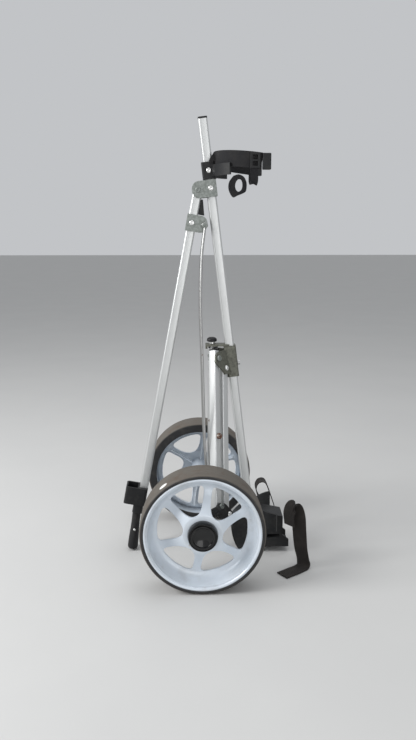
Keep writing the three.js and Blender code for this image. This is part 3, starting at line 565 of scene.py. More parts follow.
@dataclass(frozen=True)
class Softening:
    """Rounded edges and inner walls that modifiers add to a finished piece.

    Attributes:
        edge: The radius of the rounded edges; 0 leaves them sharp.
        angle: The smallest angle between faces that is rounded.
        segments: The steps in each rounded edge.
        wall: The thickness of the walls; 0 leaves the piece as it is.
        outward: Where the wall lies, from -1 inside the faces to 1 outside them.
        subdivisions: Levels of smoothing.
    """

    edge: float = 0.0
    angle: float = math.radians(35)
    segments: int = 3
    wall: float = 0.0
    outward: float = -1.0
    subdivisions: int = 0

    def apply(self, piece: bpy.types.Object) -> None:
        """Add the modifiers to a piece."""
        if self.wall:
            solid = piece.modifiers.new("wall", "SOLIDIFY")
            solid.thickness = self.wall
            solid.offset = self.outward
            solid.use_even_offset = True
        if self.edge:
            bevel = piece.modifiers.new("edge", "BEVEL")
            bevel.width = self.edge
            bevel.segments = self.segments
            bevel.limit_method = "ANGLE"
            bevel.angle_limit = self.angle
            bevel.use_clamp_overlap = True
            bevel.harden_normals = True
        if self.subdivisions:
            smooth = piece.modifiers.new("smooth", "SUBSURF")
            smooth.levels = self.subdivisions
            smooth.render_levels = self.subdivisions


SHARP = Softening()
CUT_ANGLE = math.radians(60)


def finish_piece(
    name: str,
    bm: Mesh,
    material: bpy.types.Material,
    seat: Seat,
    place: Matrix | None = None,
    softening: Softening = SHARP,
    side: Side = Side.RIGHT,
) -> bpy.types.Object:
    """Turn a mesh in a local frame into a finished piece of the trolley.

    Args:
        name: The piece's name.
        bm: The mesh, which is used up.
        material: Its material.
        seat: Where it belongs.
        place: The local frame that it was made in.
        softening: Its rounded edges and walls.
        side: The side of the trolley that it is for; the left is a mirror of the right.

    Returns:
        The piece's object.
    """
    bmesh.ops.transform(bm, matrix=side.mirror @ (place or Matrix.Identity(4)), verts=bm.verts)
    if side is Side.LEFT:
        bmesh.ops.reverse_faces(bm, faces=bm.faces)
    mesh = bpy.data.meshes.new(name)
    bm.to_mesh(mesh)
    bm.free()
    mesh.shade_smooth()
    mesh.set_sharp_from_angle(angle=FACING_ANGLE)
    mesh.materials.append(material)
    piece = bpy.data.objects.new(name, mesh)
    bpy.context.scene.collection.objects.link(piece)
    softening.apply(piece)
    seated = seat.on(side)
    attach(piece, seated.body)
    if seated.nodes:
        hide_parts(*seated.nodes)
    log.info("made %s on %s", name, seated.body)
    return piece


def softened_copy(node: str, flat: float = math.radians(2)) -> Mesh:
    """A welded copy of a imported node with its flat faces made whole, ready for rounding.

    Args:
        node: The node's name.
        flat: The largest angle across which faces count as one.

    Returns:
        The copy, in the frame's own axes.
    """
    bm = bmesh.new()
    bm.from_mesh(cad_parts[node].data)
    bmesh.ops.remove_doubles(bm, verts=bm.verts, dist=0.002 * MM)
    bmesh.ops.dissolve_limit(bm, angle_limit=flat, verts=bm.verts, edges=bm.edges)
    return bm


def block(
    size: Vector, centre: Vector, corner: float = 0.0, along: int = 2, segments: int = 6
) -> Mesh:
    """A box whose four edges along one axis are rounded.

    Args:
        size: Its lengths along X, Y and Z.
        centre: Its middle.
        corner: The radius of the rounded edges.
        along: The axis that the rounded edges follow.
        segments: The steps in each rounded edge.

    Returns:
        The box.
    """
    bm = bmesh.new()
    place = Matrix.Translation(centre) @ Matrix.Diagonal((*size, 1))
    bmesh.ops.create_cube(bm, size=1.0, matrix=place)
    if corner:
        least = 0.5 * size[along]
        edges = [e for e in bm.edges if abs((e.verts[0].co - e.verts[1].co)[along]) > least]
        bmesh.ops.bevel(bm, geom=edges, offset=corner, segments=segments, profile=0.5,
                        affect="EDGES", material=-1)
    return bm


def turned(profile: Sequence[Pair], steps: int = 48) -> Mesh:
    """A solid turned about Z.

    Args:
        profile: Radius and height pairs in millimetres; it starts and ends on the axis, or it
            closes on itself.
        steps: The faces around.

    Returns:
        The turned solid.
    """
    bm = bmesh.new()
    points = [bm.verts.new(mm(radius, 0, height)) for radius, height in profile]
    edges = [bm.edges.new(pair) for pair in zip(points, points[1:])]
    bmesh.ops.spin(bm, geom=points + edges, cent=(0, 0, 0), axis=(0, 0, 1), angle=FULL_TURN,
                   steps=steps, use_merge=True)
    bmesh.ops.remove_doubles(bm, verts=bm.verts, dist=0.001 * MM)
    bmesh.ops.recalc_face_normals(bm, faces=bm.faces)
    return bm


def arc(centre: Pair, radius: float, start: float, end: float, steps: int) -> list[Pair]:
    """Points of an arc in a profile.

    Args:
        centre: The arc's middle.
        radius: Its radius.
        start: The first angle, in degrees.
        end: The last angle, in degrees.
        steps: How many steps it has.

    Returns:
        The points, first to last.
    """
    angles = (math.radians(start + (end - start) * i / steps) for i in range(steps + 1))
    return [(centre[0] + radius * math.cos(a), centre[1] + radius * math.sin(a)) for a in angles]


def joined(*parts: Mesh) -> Mesh:
    """Several meshes as one; the parts are used up."""
    whole = bmesh.new()
    for part in parts:
        mesh = bpy.data.meshes.new("part")
        part.to_mesh(mesh)
        part.free()
        whole.from_mesh(mesh)
        bpy.data.meshes.remove(mesh)
    return whole


def moved(bm: Mesh, matrix: Matrix) -> Mesh:
    """The same mesh carried by a matrix."""
    bmesh.ops.transform(bm, matrix=matrix, verts=bm.verts)
    return bm


def curve_through(points: Sequence[Vector], steps: int) -> list[Vector]:
    """A smooth curve through points.

    Args:
        points: The points to pass through.
        steps: The steps between two neighbouring points.

    Returns:
        Points along the curve, ends included.
    """
    padded = [2 * points[0] - points[1], *points, 2 * points[-1] - points[-2]]
    path = []
    for i in range(1, len(padded) - 2):
        before, here, after, beyond = padded[i - 1:i + 3]
        for k in range(steps):
            t = k / steps
            bend = 2 * before - 5 * here + 4 * after - beyond
            twist = 3 * here - before - 3 * after + beyond
            path.append(0.5 * (2 * here + (after - before) * t + bend * t * t + twist * t ** 3))
    return [*path, points[-1].copy()]


def frames_along(path: Sequence[Vector], across: Sequence[Vector]) -> list[Matrix]:
    """A frame at each point of a path: X across it, Z along it.

    Args:
        path: The points.
        across: A direction roughly across the path at each point.

    Returns:
        One matrix for each point.
    """
    frames = []
    for i, point in enumerate(path):
        along = (path[min(i + 1, len(path) - 1)] - path[max(i - 1, 0)]).normalized()
        side = (across[i] - along * across[i].dot(along)).normalized()
        turn = Matrix((side, along.cross(side), along)).transposed().to_4x4()
        frames.append(Matrix.Translation(point) @ turn)
    return frames


def wire(path: Sequence[Vector], radius: float, segments: int = 14) -> Mesh:
    """A round rod that follows a path, with closed ends.

    Args:
        path: The points, in metres.
        radius: The rod's radius.
        segments: The faces around.

    Returns:
        The rod.
    """
    bm = bmesh.new()
    rings = []
    for place in frames_along(path, [Vector((0, 1, 0))] * len(path)):
        made = bmesh.ops.create_circle(bm, cap_ends=False, segments=segments, radius=radius,
                                       matrix=place)
        rings.append(list({edge for vert in made["verts"] for edge in vert.link_edges}))
    for lower, upper in zip(rings, rings[1:]):
        bmesh.ops.bridge_loops(bm, edges=lower + upper)
    bmesh.ops.holes_fill(bm, edges=bm.edges, sides=segments)
    bmesh.ops.recalc_face_normals(bm, faces=bm.faces)
    return bm


@dataclass(frozen=True)
class Strap:
    """A flat woven strap along a smooth path.

    Attributes:
        path: The points that its middle passes through, in millimetres from the axle line.
        across: The direction of its width at each of those points.
        width: Its width.
        thickness: Its thickness.
        columns: The faces across it.
        steps: The faces between two neighbouring points.
    """

    path: Sequence[tuple[float, float, float]]
    across: Sequence[tuple[float, float, float]]
    width: float
    thickness: float = 1.6 * MM
    columns: int = 8
    steps: int = 9

    def build(self, origin: Matrix) -> Mesh:
        """Make the strap with its weave map.

        Args:
            origin: The place that the path is measured from.

        Returns:
            The strap as a single skin, to be given its thickness.
        """
        points = curve_through([origin @ mm(*p) for p in self.path], self.steps)
        turns = curve_through([Vector(a) for a in self.across], self.steps)
        frames = frames_along(points, turns)
        bm = bmesh.new()
        bmesh.ops.create_grid(bm, x_segments=self.columns, y_segments=len(frames) - 1, size=0.5)
        weave = bm.loops.layers.uv.new(WEAVE_MAP)
        length = [0.0]
        for a, b in zip(points, points[1:]):
            length.append(length[-1] + (b - a).length)
        rows = {v: round((v.co.y + 0.5) * (len(frames) - 1)) for v in bm.verts}
        shares = {v: v.co.x for v in bm.verts}
        for face in bm.faces:
            for loop in face.loops:
                loop[weave].uv = (shares[loop.vert] * self.width, length[rows[loop.vert]])
        for vert, row in rows.items():
            vert.co = frames[row] @ Vector((shares[vert] * self.width, 0, 0))
        return bm

    @property
    def wall(self) -> Softening:
        """The thickness that a strap is given, with softly rounded edges."""
        return Softening(edge=0.35 * self.thickness, angle=CUT_ANGLE, segments=2,
                         wall=self.thickness, outward=0.0)


# ---------------------------------------------------------------- finishes


class Finishes:
    """The trolley's materials, each made once."""

    def __init__(self, layout: Layout) -> None:
        """Make the materials.

        Args:
            layout: The places that the tubes' grain follows.
        """
        self.main_tube = AnodisedTube(layout.mast).build("main_tube_metal")
        pale = (0.68, 0.69, 0.685)
        self.handle_tube = AnodisedTube(layout.handle, pale).build("handle_tube_metal")
        self.leg_tubes = {}
        for side in Side:
            leg = side.mirror @ layout.leg @ side.mirror
            self.leg_tubes[side] = AnodisedTube(leg).build(f"{side.value}_leg_metal")
        self.casting = CastMetal((0.27, 0.29, 0.275), (0.17, 0.185, 0.17)).build("grey_casting")
        olive, dark_olive = (0.15, 0.152, 0.125), (0.085, 0.086, 0.07)
        self.olive = CastMetal(olive, dark_olive, 0.5).build("olive_casting")
        self.plastic = Moulding().build("black_moulding")
        charcoal, jet = (0.0105, 0.011, 0.012), (0.004, 0.004, 0.0045)
        self.rubbed = Moulding(charcoal, 0.5, 0.22, 0.12 * MM).build("rubbed_moulding")
        self.grip = Moulding((0.010, 0.010, 0.011), 0.55, 0.2, 0.1 * MM).build("grip_rubber")
        self.gloss = Moulding(jet, 0.16, 0.08, 0.004 * MM, 0.35).build("gloss_black")
        self.steel = Steel().build("bright_steel")
        self.rod_steel = Steel((0.36, 0.36, 0.355), 0.15, 0.34).build("rod_steel")
        self.rusted = Steel((0.5, 0.47, 0.43), 0.8, 0.4).build("rusted_steel")
        self.webbing = Webbing().build("webbing")
        self.old_webbing = Webbing((0.013, 0.011, 0.010), dust=0.25).build("dusty_webbing")


class Maker:
    """A maker of pieces that knows the trolley's places and its materials."""

    def __init__(self, layout: Layout, finishes: Finishes) -> None:
        """Keep the places and the materials."""
        self.layout = layout
        self.finishes = finishes


# ---------------------------------------------------------------- tubes


@dataclass(frozen=True)
class Tube:
    """A rounded rectangular tube along Z, sized in millimetres.

    Attributes:
        width: Its size along X.
        depth: Its size along Y.
        corner: The radius of its long edges.
        low: Its lower end.
        high: Its upper end.
        wall: Its wall.
        centre: Its axis in X and Y.
    """

    width: float
    depth: float
    corner: float
    low: float
    high: float
    wall: float = 1.8
    centre: Pair = (0.0, 0.0)

    def build(self) -> Mesh:
        """Make the tube as an open skin, to be given its wall."""
        size = mm(self.width, self.depth, self.high - self.low)
        bm = block(size, mm(*self.centre, (self.low + self.high) / 2), self.corner * MM)
        bm.normal_update()
        ends = [face for face in bm.faces if abs(face.normal.z) > 0.9]
        bmesh.ops.delete(bm, geom=ends, context="FACES")
        return bm

    @property
    def softening(self) -> Softening:
        """Its wall, with the cut ends lightly broken."""
        return Softening(edge=0.35 * MM, angle=CUT_ANGLE, segments=2, wall=self.wall * MM)


class Tubework(Maker):
    """The main tube, the handle's tube and the legs' tubes."""

    MAIN = Tube(22, 24, 5, 24, 1089)
    HANDLE = Tube(22, 22, 5, -790, 14)
    REAR_LEG = Tube(16, 22, 3, -20, 370, 1.6)
    FRONT_LEG = Tube(20, 14, 3, 14, 392, 1.6, (30.5, 4))

    def build(self) -> None:
        """Make every tube."""
        rows = (
            (self.MAIN, self.finishes.main_tube, "frame", "main_tube", self.layout.mast),
            (self.HANDLE, self.finishes.handle_tube, "handle", "handle_tube", self.layout.handle),
        )
        for tube, material, body, node, place in rows:
            seat = Seat(body, "anodised_tube", (node,))
            finish_piece(node + "_wall", tube.build(), material, seat, place, tube.softening)
        for side in Side:
            for row, tube in (("rear", self.REAR_LEG), ("front", self.FRONT_LEG)):
                seat = Seat(f"*_leg_{row}", "anodised_tube", (f"*_leg_{row}_tube",))
                name = f"{side.value}_leg_{row}_wall"
                metal, leg = self.finishes.leg_tubes[side], self.layout.leg
                finish_piece(name, tube.build(), metal, seat, leg, tube.softening, side)


# ---------------------------------------------------------------- pins and rivets

TO_THE_RIGHT = Matrix.Rotation(math.radians(90), 4, "X")
OUTWARD = Matrix.Rotation(math.radians(-90), 4, "X")


class Crown:
    """Shapes of pin heads: radius and height pairs in millimetres, axis to underside."""

    RIVET = (
        (0, -3.5), (1.7, -3.5), (1.7, 1.0), (2.5, 1.7), (3.8, 1.9), (5.2, 1.4), (6, 0.6),
        (6, 0.3),
    )
    DISHED = ((0, 0.7), (2.9, 0.7), (3.4, 1.9), (5.2, 2.2), (6.2, 1.6), (6.5, 0.3))
    BOSS = ((0, 1.7), (3.4, 1.7), (4.0, 3.5), (5.2, 4.0), (6.4, 3.2), (7, 1.8), (7, 0.3))
    DOME = ((0, 4.0), (2.2, 3.8), (4.4, 3.0), (6.2, 1.8), (7, 0.3))
    BUTTON = ((0, 2.0), (1.8, 1.9), (2.7, 1.4), (3, 0.3))


@dataclass(frozen=True)
class Fixing:
    """A pin that is turned about Z, in millimetres.

    Attributes:
        low: Where the face under its lower head lies.
        high: Where the face under its upper head lies.
        shaft: The shaft's radius.
        upper: The upper head.
        lower: The lower head.
    """

    low: float
    high: float
    shaft: float
    upper: tuple[Pair, ...]
    lower: tuple[Pair, ...]

    def build(self) -> Mesh:
        """Make the pin."""
        top = [(radius, self.high + height) for radius, height in self.upper]
        bottom = [(radius, self.low - height) for radius, height in self.lower]
        neck = [(self.shaft, top[-1][1]), (self.shaft, bottom[-1][1])]
        return turned([*top, *neck, *reversed(bottom)], 40)


def through(reach: float, shaft: float, crown: tuple[Pair, ...]) -> Fixing:
    """A pin with the same head at both ends, its faces a given reach from its middle."""
    return Fixing(-reach, reach, shaft, crown, crown)


class Hardware(Maker):
    """The rivets and pins."""

    PLAIN = ((0, 3.0), (5.4, 3.0), (6, 2.4), (6, 0.3))
    RIVET_SHAFT = 2.6
    PIN_SHAFT = 4
    CHEEK_FACE = 16.8
    HINGE_UP = 929
    DRAW_UP = -78
    EAR = 31.4
    FRONT_ACROSS = 30.5
    FRONT_DOWN = 22
    LEG_LENGTH = 358

    def build(self) -> None:
        """Make every rivet and pin."""
        mast, handle = self.layout.mast, self.layout.handle
        steel, casting = self.finishes.steel, self.finishes.casting
        rivet, pin = "bright_steel", "grey_casting"
        face = self.CHEEK_FACE
        rows = (
            ("hinge_rivet", mast, (0, self.HINGE_UP), self.rivet(face), steel, "frame", rivet),
            ("upper_bracket_rivet", mast, (0, 970), self.rivet(17.3), steel, "frame", rivet),
            ("lower_bracket_rivet", mast, (0, 80), self.rivet(18), steel, "frame", rivet),
            ("handle_pivot_pin", mast, (-self.EAR, self.HINGE_UP),
             through(face, self.PIN_SHAFT, Crown.DISHED), casting, "frame", pin),
            ("draw_rivet", handle, (0, self.DRAW_UP), self.rivet(face), steel, "handle", rivet),
            ("draw_rod_pin", handle, (self.EAR, self.DRAW_UP),
             through(29.2, 3, Crown.DISHED), casting, "handle", pin),
        )
        for node, frame_of, (ahead, up), fixing, material, body, slot in rows:
            place = frame_of @ Matrix.Translation(mm(ahead, 0, up)) @ TO_THE_RIGHT
            seat = Seat(body, slot, (node,))
            finish_piece(node + "_turned", fixing.build(), material, seat, place)
        for side in Side:
            self.leg_pins(side)

    def rivet(self, reach: float) -> Fixing:
        """A rivet whose heads sit a given reach from its middle."""
        return through(reach, self.RIVET_SHAFT, Crown.RIVET)

    def leg_pins(self, side: Side) -> None:
        """Make the four pivot pins of one leg."""
        casting, steel = self.finishes.casting, self.finishes.steel
        boss = (self.PIN_SHAFT, Crown.BOSS, self.PLAIN)
        dome = (self.PIN_SHAFT, Crown.DOME, self.PLAIN)
        front, low = self.FRONT_ACROSS, self.LEG_LENGTH
        drop, bracket, grey = self.FRONT_DOWN, "*_bracket", "grey_casting"
        rows = (
            ("upper_rear_pin", 0, 0, Fixing(-11, 16.3, *boss), casting, "frame", grey),
            ("upper_front_pin", front, drop, Fixing(-3, 16.3, *dome), steel, "frame", grey),
            ("lower_rear_pin", 0, low, Fixing(-11, 20.3, *boss), casting, bracket, grey),
            ("lower_front_pin", front, low + drop, Fixing(-3, 20.3, *dome), steel, bracket,
             "bright_steel"),
        )
        for node, across, down, fixing, material, body, slot in rows:
            place = self.layout.leg @ Matrix.Translation(mm(across, 0, down)) @ OUTWARD
            seat = Seat(body, slot, (f"*_{node}",))
            name = f"{side.value}_{node}_turned"
            finish_piece(name, fixing.build(), material, seat, place, SHARP, side)


# ---------------------------------------------------------------- wheels


@dataclass(frozen=True)
class WheelSizes:
    """A wheel's sizes, in millimetres from its middle plane and its axle.

    Attributes:
        half_track: How far its middle plane lies from the trolley's.
        radius: The tyre's outer radius.
        half_width: Half the tyre's width.
        barrel: The radius that the tyre sits on.
        wall: The barrel's wall.
        spokes: How many spokes it has.
        phase: The first spoke's angle, in degrees.
        spoke_half: Half a spoke's width.
        window: The inner and outer radius of the openings.
        hub_face: How far out the hub's face lies.
        dish: How far the web falls from the hub to the openings' outer ends.
        bowl: How far the bowl spreads beyond the openings.
        bowl_top: How far out the bowl's edge lies.
        flange: How deep the openings' edges are turned in.
        web: The web's thickness.
    """

    half_track: float = 211
    radius: float = 145
    half_width: float = 39
    barrel: float = 127
    wall: float = 5
    spokes: int = 6
    phase: float = 22
    spoke_half: float = 9.4
    window: Pair = (46, 107)
    hub_face: float = 31
    dish: float = 33
    bowl: float = 19.5
    bowl_top: float = 30
    flange: float = 7
    web: float = 3


class Wheel:
    """A spoked wheel with its tyre, cap, bush and axle."""

    HUB_EDGE = 44
    WEB_START = 12
    COLUMNS = 10
    WINDOW_ROWS = 9
    INNER_ROUNDNESS = 2.8
    OUTER_ROUNDNESS = 7.0
    FLANGE_STEPS = (0.3, 0.7)
    BOWL_STEPS = (18, 36, 54, 72, 90)
    CAP = (
        (0, 32.3), (35, 32.3), (35.4, 33), (35.2, 37), (34.2, 46), (32.8, 48.8), (31.4, 48.9),
        (30.4, 47.4), (28.8, 47.2), (27.8, 50.4), (25, 50.6), (23.6, 49.6), (22.8, 46),
        (21.6, 45.4), (14, 45.2), (13, 44.4), (0, 44.2),
    )
    SHAFT = ((0, -61), (5.4, -61), (6, -60.4), (6, 30), (0, 30))
    NUT = ((6, -65), (9.2, -65), (10, -64.2), (10, -56), (9.2, -55.2), (6, -55.2), (6, -65))
    BUSH = ((6.3, -30.7), (9, -30.7), (9, 30), (6.3, 30), (6.3, -30.7))
    RIB = (84, 2.6, 14)
    RIB_START = 20
    RIB_TOP = -6
    RIB_RISE = 31

    def __init__(
        self, layout: Layout, finishes: Finishes, side: Side, sizes: WheelSizes = WheelSizes()
    ) -> None:
        """Keep the wheel's side and sizes.

        Args:
            layout: The trolley's places.
            finishes: Its materials.
            side: The side that the wheel is on.
            sizes: The wheel's sizes.
        """
        self.sizes = sizes
        self.side = side
        self.finishes = finishes
        axle = Matrix.Translation(mm(0, -sizes.half_track, sizes.radius))
        self.place = layout.origin @ axle @ TO_THE_RIGHT
        centre = side.mirror @ self.place.to_translation()
        self.paint = RimPaint(centre).build(f"{side.value}_rim_paint")
        spot = (math.radians(128), -21 * MM) if side is Side.RIGHT else None
        self.rubber = TyreRubber(centre, sizes.radius * MM, spot).build(f"{side.value}_tyre_rubber")

    def build(self) -> None:
        """Make every piece of the wheel."""
        name, wheel, rim = self.side.value, "*_wheel", "*_wheel_rim"
        gloss, steel, plastic = self.finishes.gloss, self.finishes.steel, self.finishes.plastic
        rolled = Softening(wall=self.sizes.web * MM, subdivisions=1)
        rows = [
            ("tyre_turned", self.tyre(), self.rubber, wheel, "tyre_rubber", "*_tyre", SHARP),
            ("rim_barrel", self.barrel(), self.paint, wheel, "rim_paint", rim, SHARP),
            ("rim_spokes", self.web(), self.paint, wheel, "rim_paint", rim, rolled),
            ("rim_hub", self.hub(), self.paint, wheel, "rim_paint", rim, SHARP),
            ("cap_turned", turned(self.CAP, 72), gloss, wheel, "gloss_black", "*_hub_cap", SHARP),
            ("axle_turned", self.axle(), steel, "*_bracket", "bright_steel", "*_axle", SHARP),
            ("bush_turned", self.bush(), plastic, wheel, "black_plastic", "*_wheel_bush", SHARP),
        ]
        if self.side is Side.RIGHT:
            rows.append(("hub_clip", self.clip(), steel, wheel, "bright_steel", "", SHARP))
        for part, bm, material, body, slot, node, softening in rows:
            seat = Seat(body, slot, (node,) if node else ())
            finish_piece(f"{name}_{part}", bm, material, seat, self.place, softening, self.side)

    def tyre(self) -> Mesh:
        """The tyre: a flat tread with rounded shoulders, and a bead around the rim's lip."""
        s = self.sizes
        half, seat = s.half_width, s.barrel + 0.3
        shoulder = arc((s.radius - 5.6, half - 5), 5, 90, 0, 6)
        far_shoulder = arc((s.radius - 5.6, 5 - half), 5, 0, -90, 6)
        inner = s.barrel - s.wall - 1
        profile = [
            (136.2, half - 0.6), (137.4, half), *shoulder, (s.radius, half - 20),
            (s.radius, 20 - half), *far_shoulder, (inner + 1, -half), (inner, 1 - half),
            (inner, 2.7 - half), (seat, 2.7 - half), (seat, half - 3.4), (135.8, half - 3.4),
            (136.2, half - 0.6),
        ]
        return turned(profile, 144)

    def barrel(self) -> Mesh:
        """The rim's barrel and its rolled outer lip."""
        s = self.sizes
        half, inner = s.half_width, s.barrel - s.wall
        profile = [
            (s.barrel, 3 - half), (s.barrel, half - 3.1), (135.5, half - 3.1), (135.5, half - 1),
            (134.4, half), (132.4, half + 0.4), (130.4, half - 0.4), (128.2, half - 3.2),
            (126.9, half - 7), (126.7, half - 10), (126.6, 14), (inner, 6), (inner, 3 - half),
            (s.barrel, 3 - half),
        ]
        return turned(profile, 144)

    def hub(self) -> Mesh:
        """The boss behind the web that holds the bush."""
        top = self.sizes.hub_face - self.sizes.web + 0.5
        profile = [(9.4, -30.6), (18.6, -30.6), (20, -29.4), (24, top), (9.4, top), (9.4, -30.6)]
        length, thickness, depth = self.RIB
        boss = turned(profile, 48)
        for k in range(self.sizes.spokes):
            middle = mm(self.RIB_START + length / 2, 0, self.RIB_TOP - depth / 2)
            rib = block(mm(length, thickness, depth), middle)
            for vert in rib.verts:
                share = (vert.co.x / MM - self.RIB_START) / length
                vert.co.z += (1 - share) * self.RIB_RISE * MM
            angle = math.radians(self.sizes.phase) + k * FULL_TURN / self.sizes.spokes
            boss = joined(boss, moved(rib, Matrix.Rotation(angle, 4, "Z")))
        return boss

    def axle(self) -> Mesh:
        """The axle, with a hexagon nut behind the bracket."""
        return joined(turned(self.SHAFT, 36), turned(self.NUT, 6))

    def clip(self) -> Mesh:
        """The small spring clip that stands beside the cap."""
        angle = math.radians(-142)
        at = mm(38 * math.cos(angle), 38 * math.sin(angle), self.sizes.hub_face + 2)
        return block(mm(5, 3.4, 5), at, 0.8 * MM, 2, 3)

    def bush(self) -> Mesh:
        """The sleeve that the wheel turns on."""
        return turned(self.BUSH, 32)

    def spoke_half_angle(self, radius: float) -> float:
        """Half the angle that a spoke takes up at a radius.

        Where the web is whole, it is half of the spoke's share of the turn.
        """
        s = self.sizes
        share = math.pi / s.spokes
        middle, half = sum(s.window) / 2, (s.window[1] - s.window[0]) / 2
        along = abs(radius - middle) / half
        if along >= 1:
            return share
        roundness = self.OUTER_ROUNDNESS if radius > middle else self.INNER_ROUNDNESS
        widest = share - math.asin(s.spoke_half / radius)
        return share - widest * (1 - along ** roundness) ** (1 / roundness)

    def web(self) -> Mesh:
        """The dished web with its openings, as a skin to be given its thickness."""
        s = self.sizes
        inner, outer = s.window
        middle, half = (inner + outer) / 2, (outer - inner) / 2
        n = self.WINDOW_ROWS
        low = s.hub_face - s.dish
        profile = [(self.WEB_START, s.hub_face), (24, s.hub_face), (34, s.hub_face)]
        for k in range(-n, n + 1):
            radius = middle + half * math.sin(0.5 * math.pi * k / n)
            fall = max(0.0, (radius - self.HUB_EDGE) / (outer - self.HUB_EDGE))
            profile.append((radius, s.hub_face - s.dish * math.sin(0.5 * math.pi * fall ** 1.15)))
        for degrees in self.BOWL_STEPS:
            t = math.radians(degrees)
            height = low + (s.bowl_top - low) * (1 - math.cos(t))
            profile.append((outer + s.bowl * math.sin(t), height))
        bm = bmesh.new()
        rows = len(profile) - 1
        bmesh.ops.create_grid(bm, x_segments=self.COLUMNS, y_segments=rows, size=0.5)
        for vert in bm.verts:
            radius, height = profile[round((vert.co.y + 0.5) * rows)]
            angle = math.radians(s.phase) + 2 * vert.co.x * self.spoke_half_angle(radius)
            vert.co = mm(radius * math.cos(angle), radius * math.sin(angle), height)
        turn = FULL_TURN * (s.spokes - 1) / s.spokes
        geometry = [*bm.verts, *bm.edges, *bm.faces]
        bmesh.ops.spin(bm, geom=geometry, cent=(0, 0, 0), axis=(0, 0, 1), angle=turn,
                       steps=s.spokes - 1, use_duplicate=True)
        bmesh.ops.remove_doubles(bm, verts=bm.verts, dist=0.05 * MM)
        bmesh.ops.recalc_face_normals(bm, faces=bm.faces)
        if sum(face.normal.z for face in bm.faces) < 0:
            bmesh.ops.reverse_faces(bm, faces=bm.faces)
        nearest, farthest = (inner - 1) * MM, (outer + 1) * MM
        edge = [
            e for e in bm.edges
            if e.is_boundary and all(nearest < v.co.xy.length < farthest for v in e.verts)
        ]
        for sink in self.FLANGE_STEPS:
            raised = bmesh.ops.extrude_edge_only(bm, edges=edge)
            lowered = [v for v in raised["geom"] if isinstance(v, bmesh.types.BMVert)]
            made = [e for e in raised["geom"] if isinstance(e, bmesh.types.BMEdge)]
            edge = [e for e in made if e.is_boundary]
            bmesh.ops.translate(bm, vec=(0, 0, -sink * s.flange * MM), verts=lowered)
        return bm


# ---------------------------------------------------------------- mouldings and castings


@dataclass(frozen=True)
class Rounded:
    """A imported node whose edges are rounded.

    Attributes:
        node: The node, with an asterisk for its side.
        body: The body that it rides on.
        slot: Its record slot.
        edge: The radius of its edges, in millimetres.
        segments: The steps in each rounded edge.
    """

    node: str
    body: str
    slot: str
    edge: float = 0.8
    segments: int = 3


class Fittings:
    """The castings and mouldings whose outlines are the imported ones, with softened edges."""

    CASTINGS = (
        Rounded("hinge_casting", "frame", "grey_casting", 1.2, 4),
        Rounded("draw_casting", "handle", "grey_casting", 1.2, 4),
    )
    MOULDINGS = (
        Rounded("main_tube_cap", "frame", "black_plastic", 0.7),
        Rounded("handle_buffer", "handle", "black_plastic", 1.2),
        Rounded("handle_console", "handle", "black_plastic", 1.4, 4),
        Rounded("upper_bracket", "frame", "black_plastic", 0.9),
        Rounded("upper_buckle", "frame", "black_plastic", 0.7),
        Rounded("lower_bracket", "frame", "black_plastic", 1.2, 3),
    )
    SIDED = (
        Rounded("*_leg_cap", "*_leg_rear", "black_plastic", 0.6),
        Rounded("*_upper_strap_end", "frame", "black_plastic", 1.8, 4),
        Rounded("*_wheel_bracket", "*_bracket", "black_plastic", 0.9),
    )

    def __init__(self, finishes: Finishes) -> None:
        """Keep the materials."""
        self.finishes = finishes

    def build(self) -> None:
        """Make every softened casting and moulding."""
        finishes = self.finishes
        groups = ((self.CASTINGS, finishes.casting), (self.MOULDINGS, finishes.rubbed))
        for group, material in groups:
            for kind in group:
                self.add(kind, material)
        self.add(Rounded("leg_casting", "frame", "olive_casting", 0.9, 3), finishes.olive)
        self.add(Rounded("leg_casting_bolt", "frame", "bright_steel", 0.5), finishes.steel)
        for side in Side:
            for kind in self.SIDED:
                self.add(kind, finishes.rubbed, side)
            bolt = Rounded("*_leg_bolt", "*_leg_rear", "rusted_steel", 0.8)
            self.add(bolt, finishes.rusted, side)

    def add(self, kind: Rounded, material: bpy.types.Material, side: Side = Side.RIGHT) -> None:
        """Make one softened piece in its own place."""
        node = kind.node.replace("*", side.value)
        seat = Seat(kind.body, kind.slot, (kind.node,)).on(side)
        softening = Softening(edge=kind.edge * MM, segments=kind.segments)
        finish_piece(node + "_soft", softened_copy(node), material, seat, None, softening)


# ---------------------------------------------------------------- draw rods, grip and lock


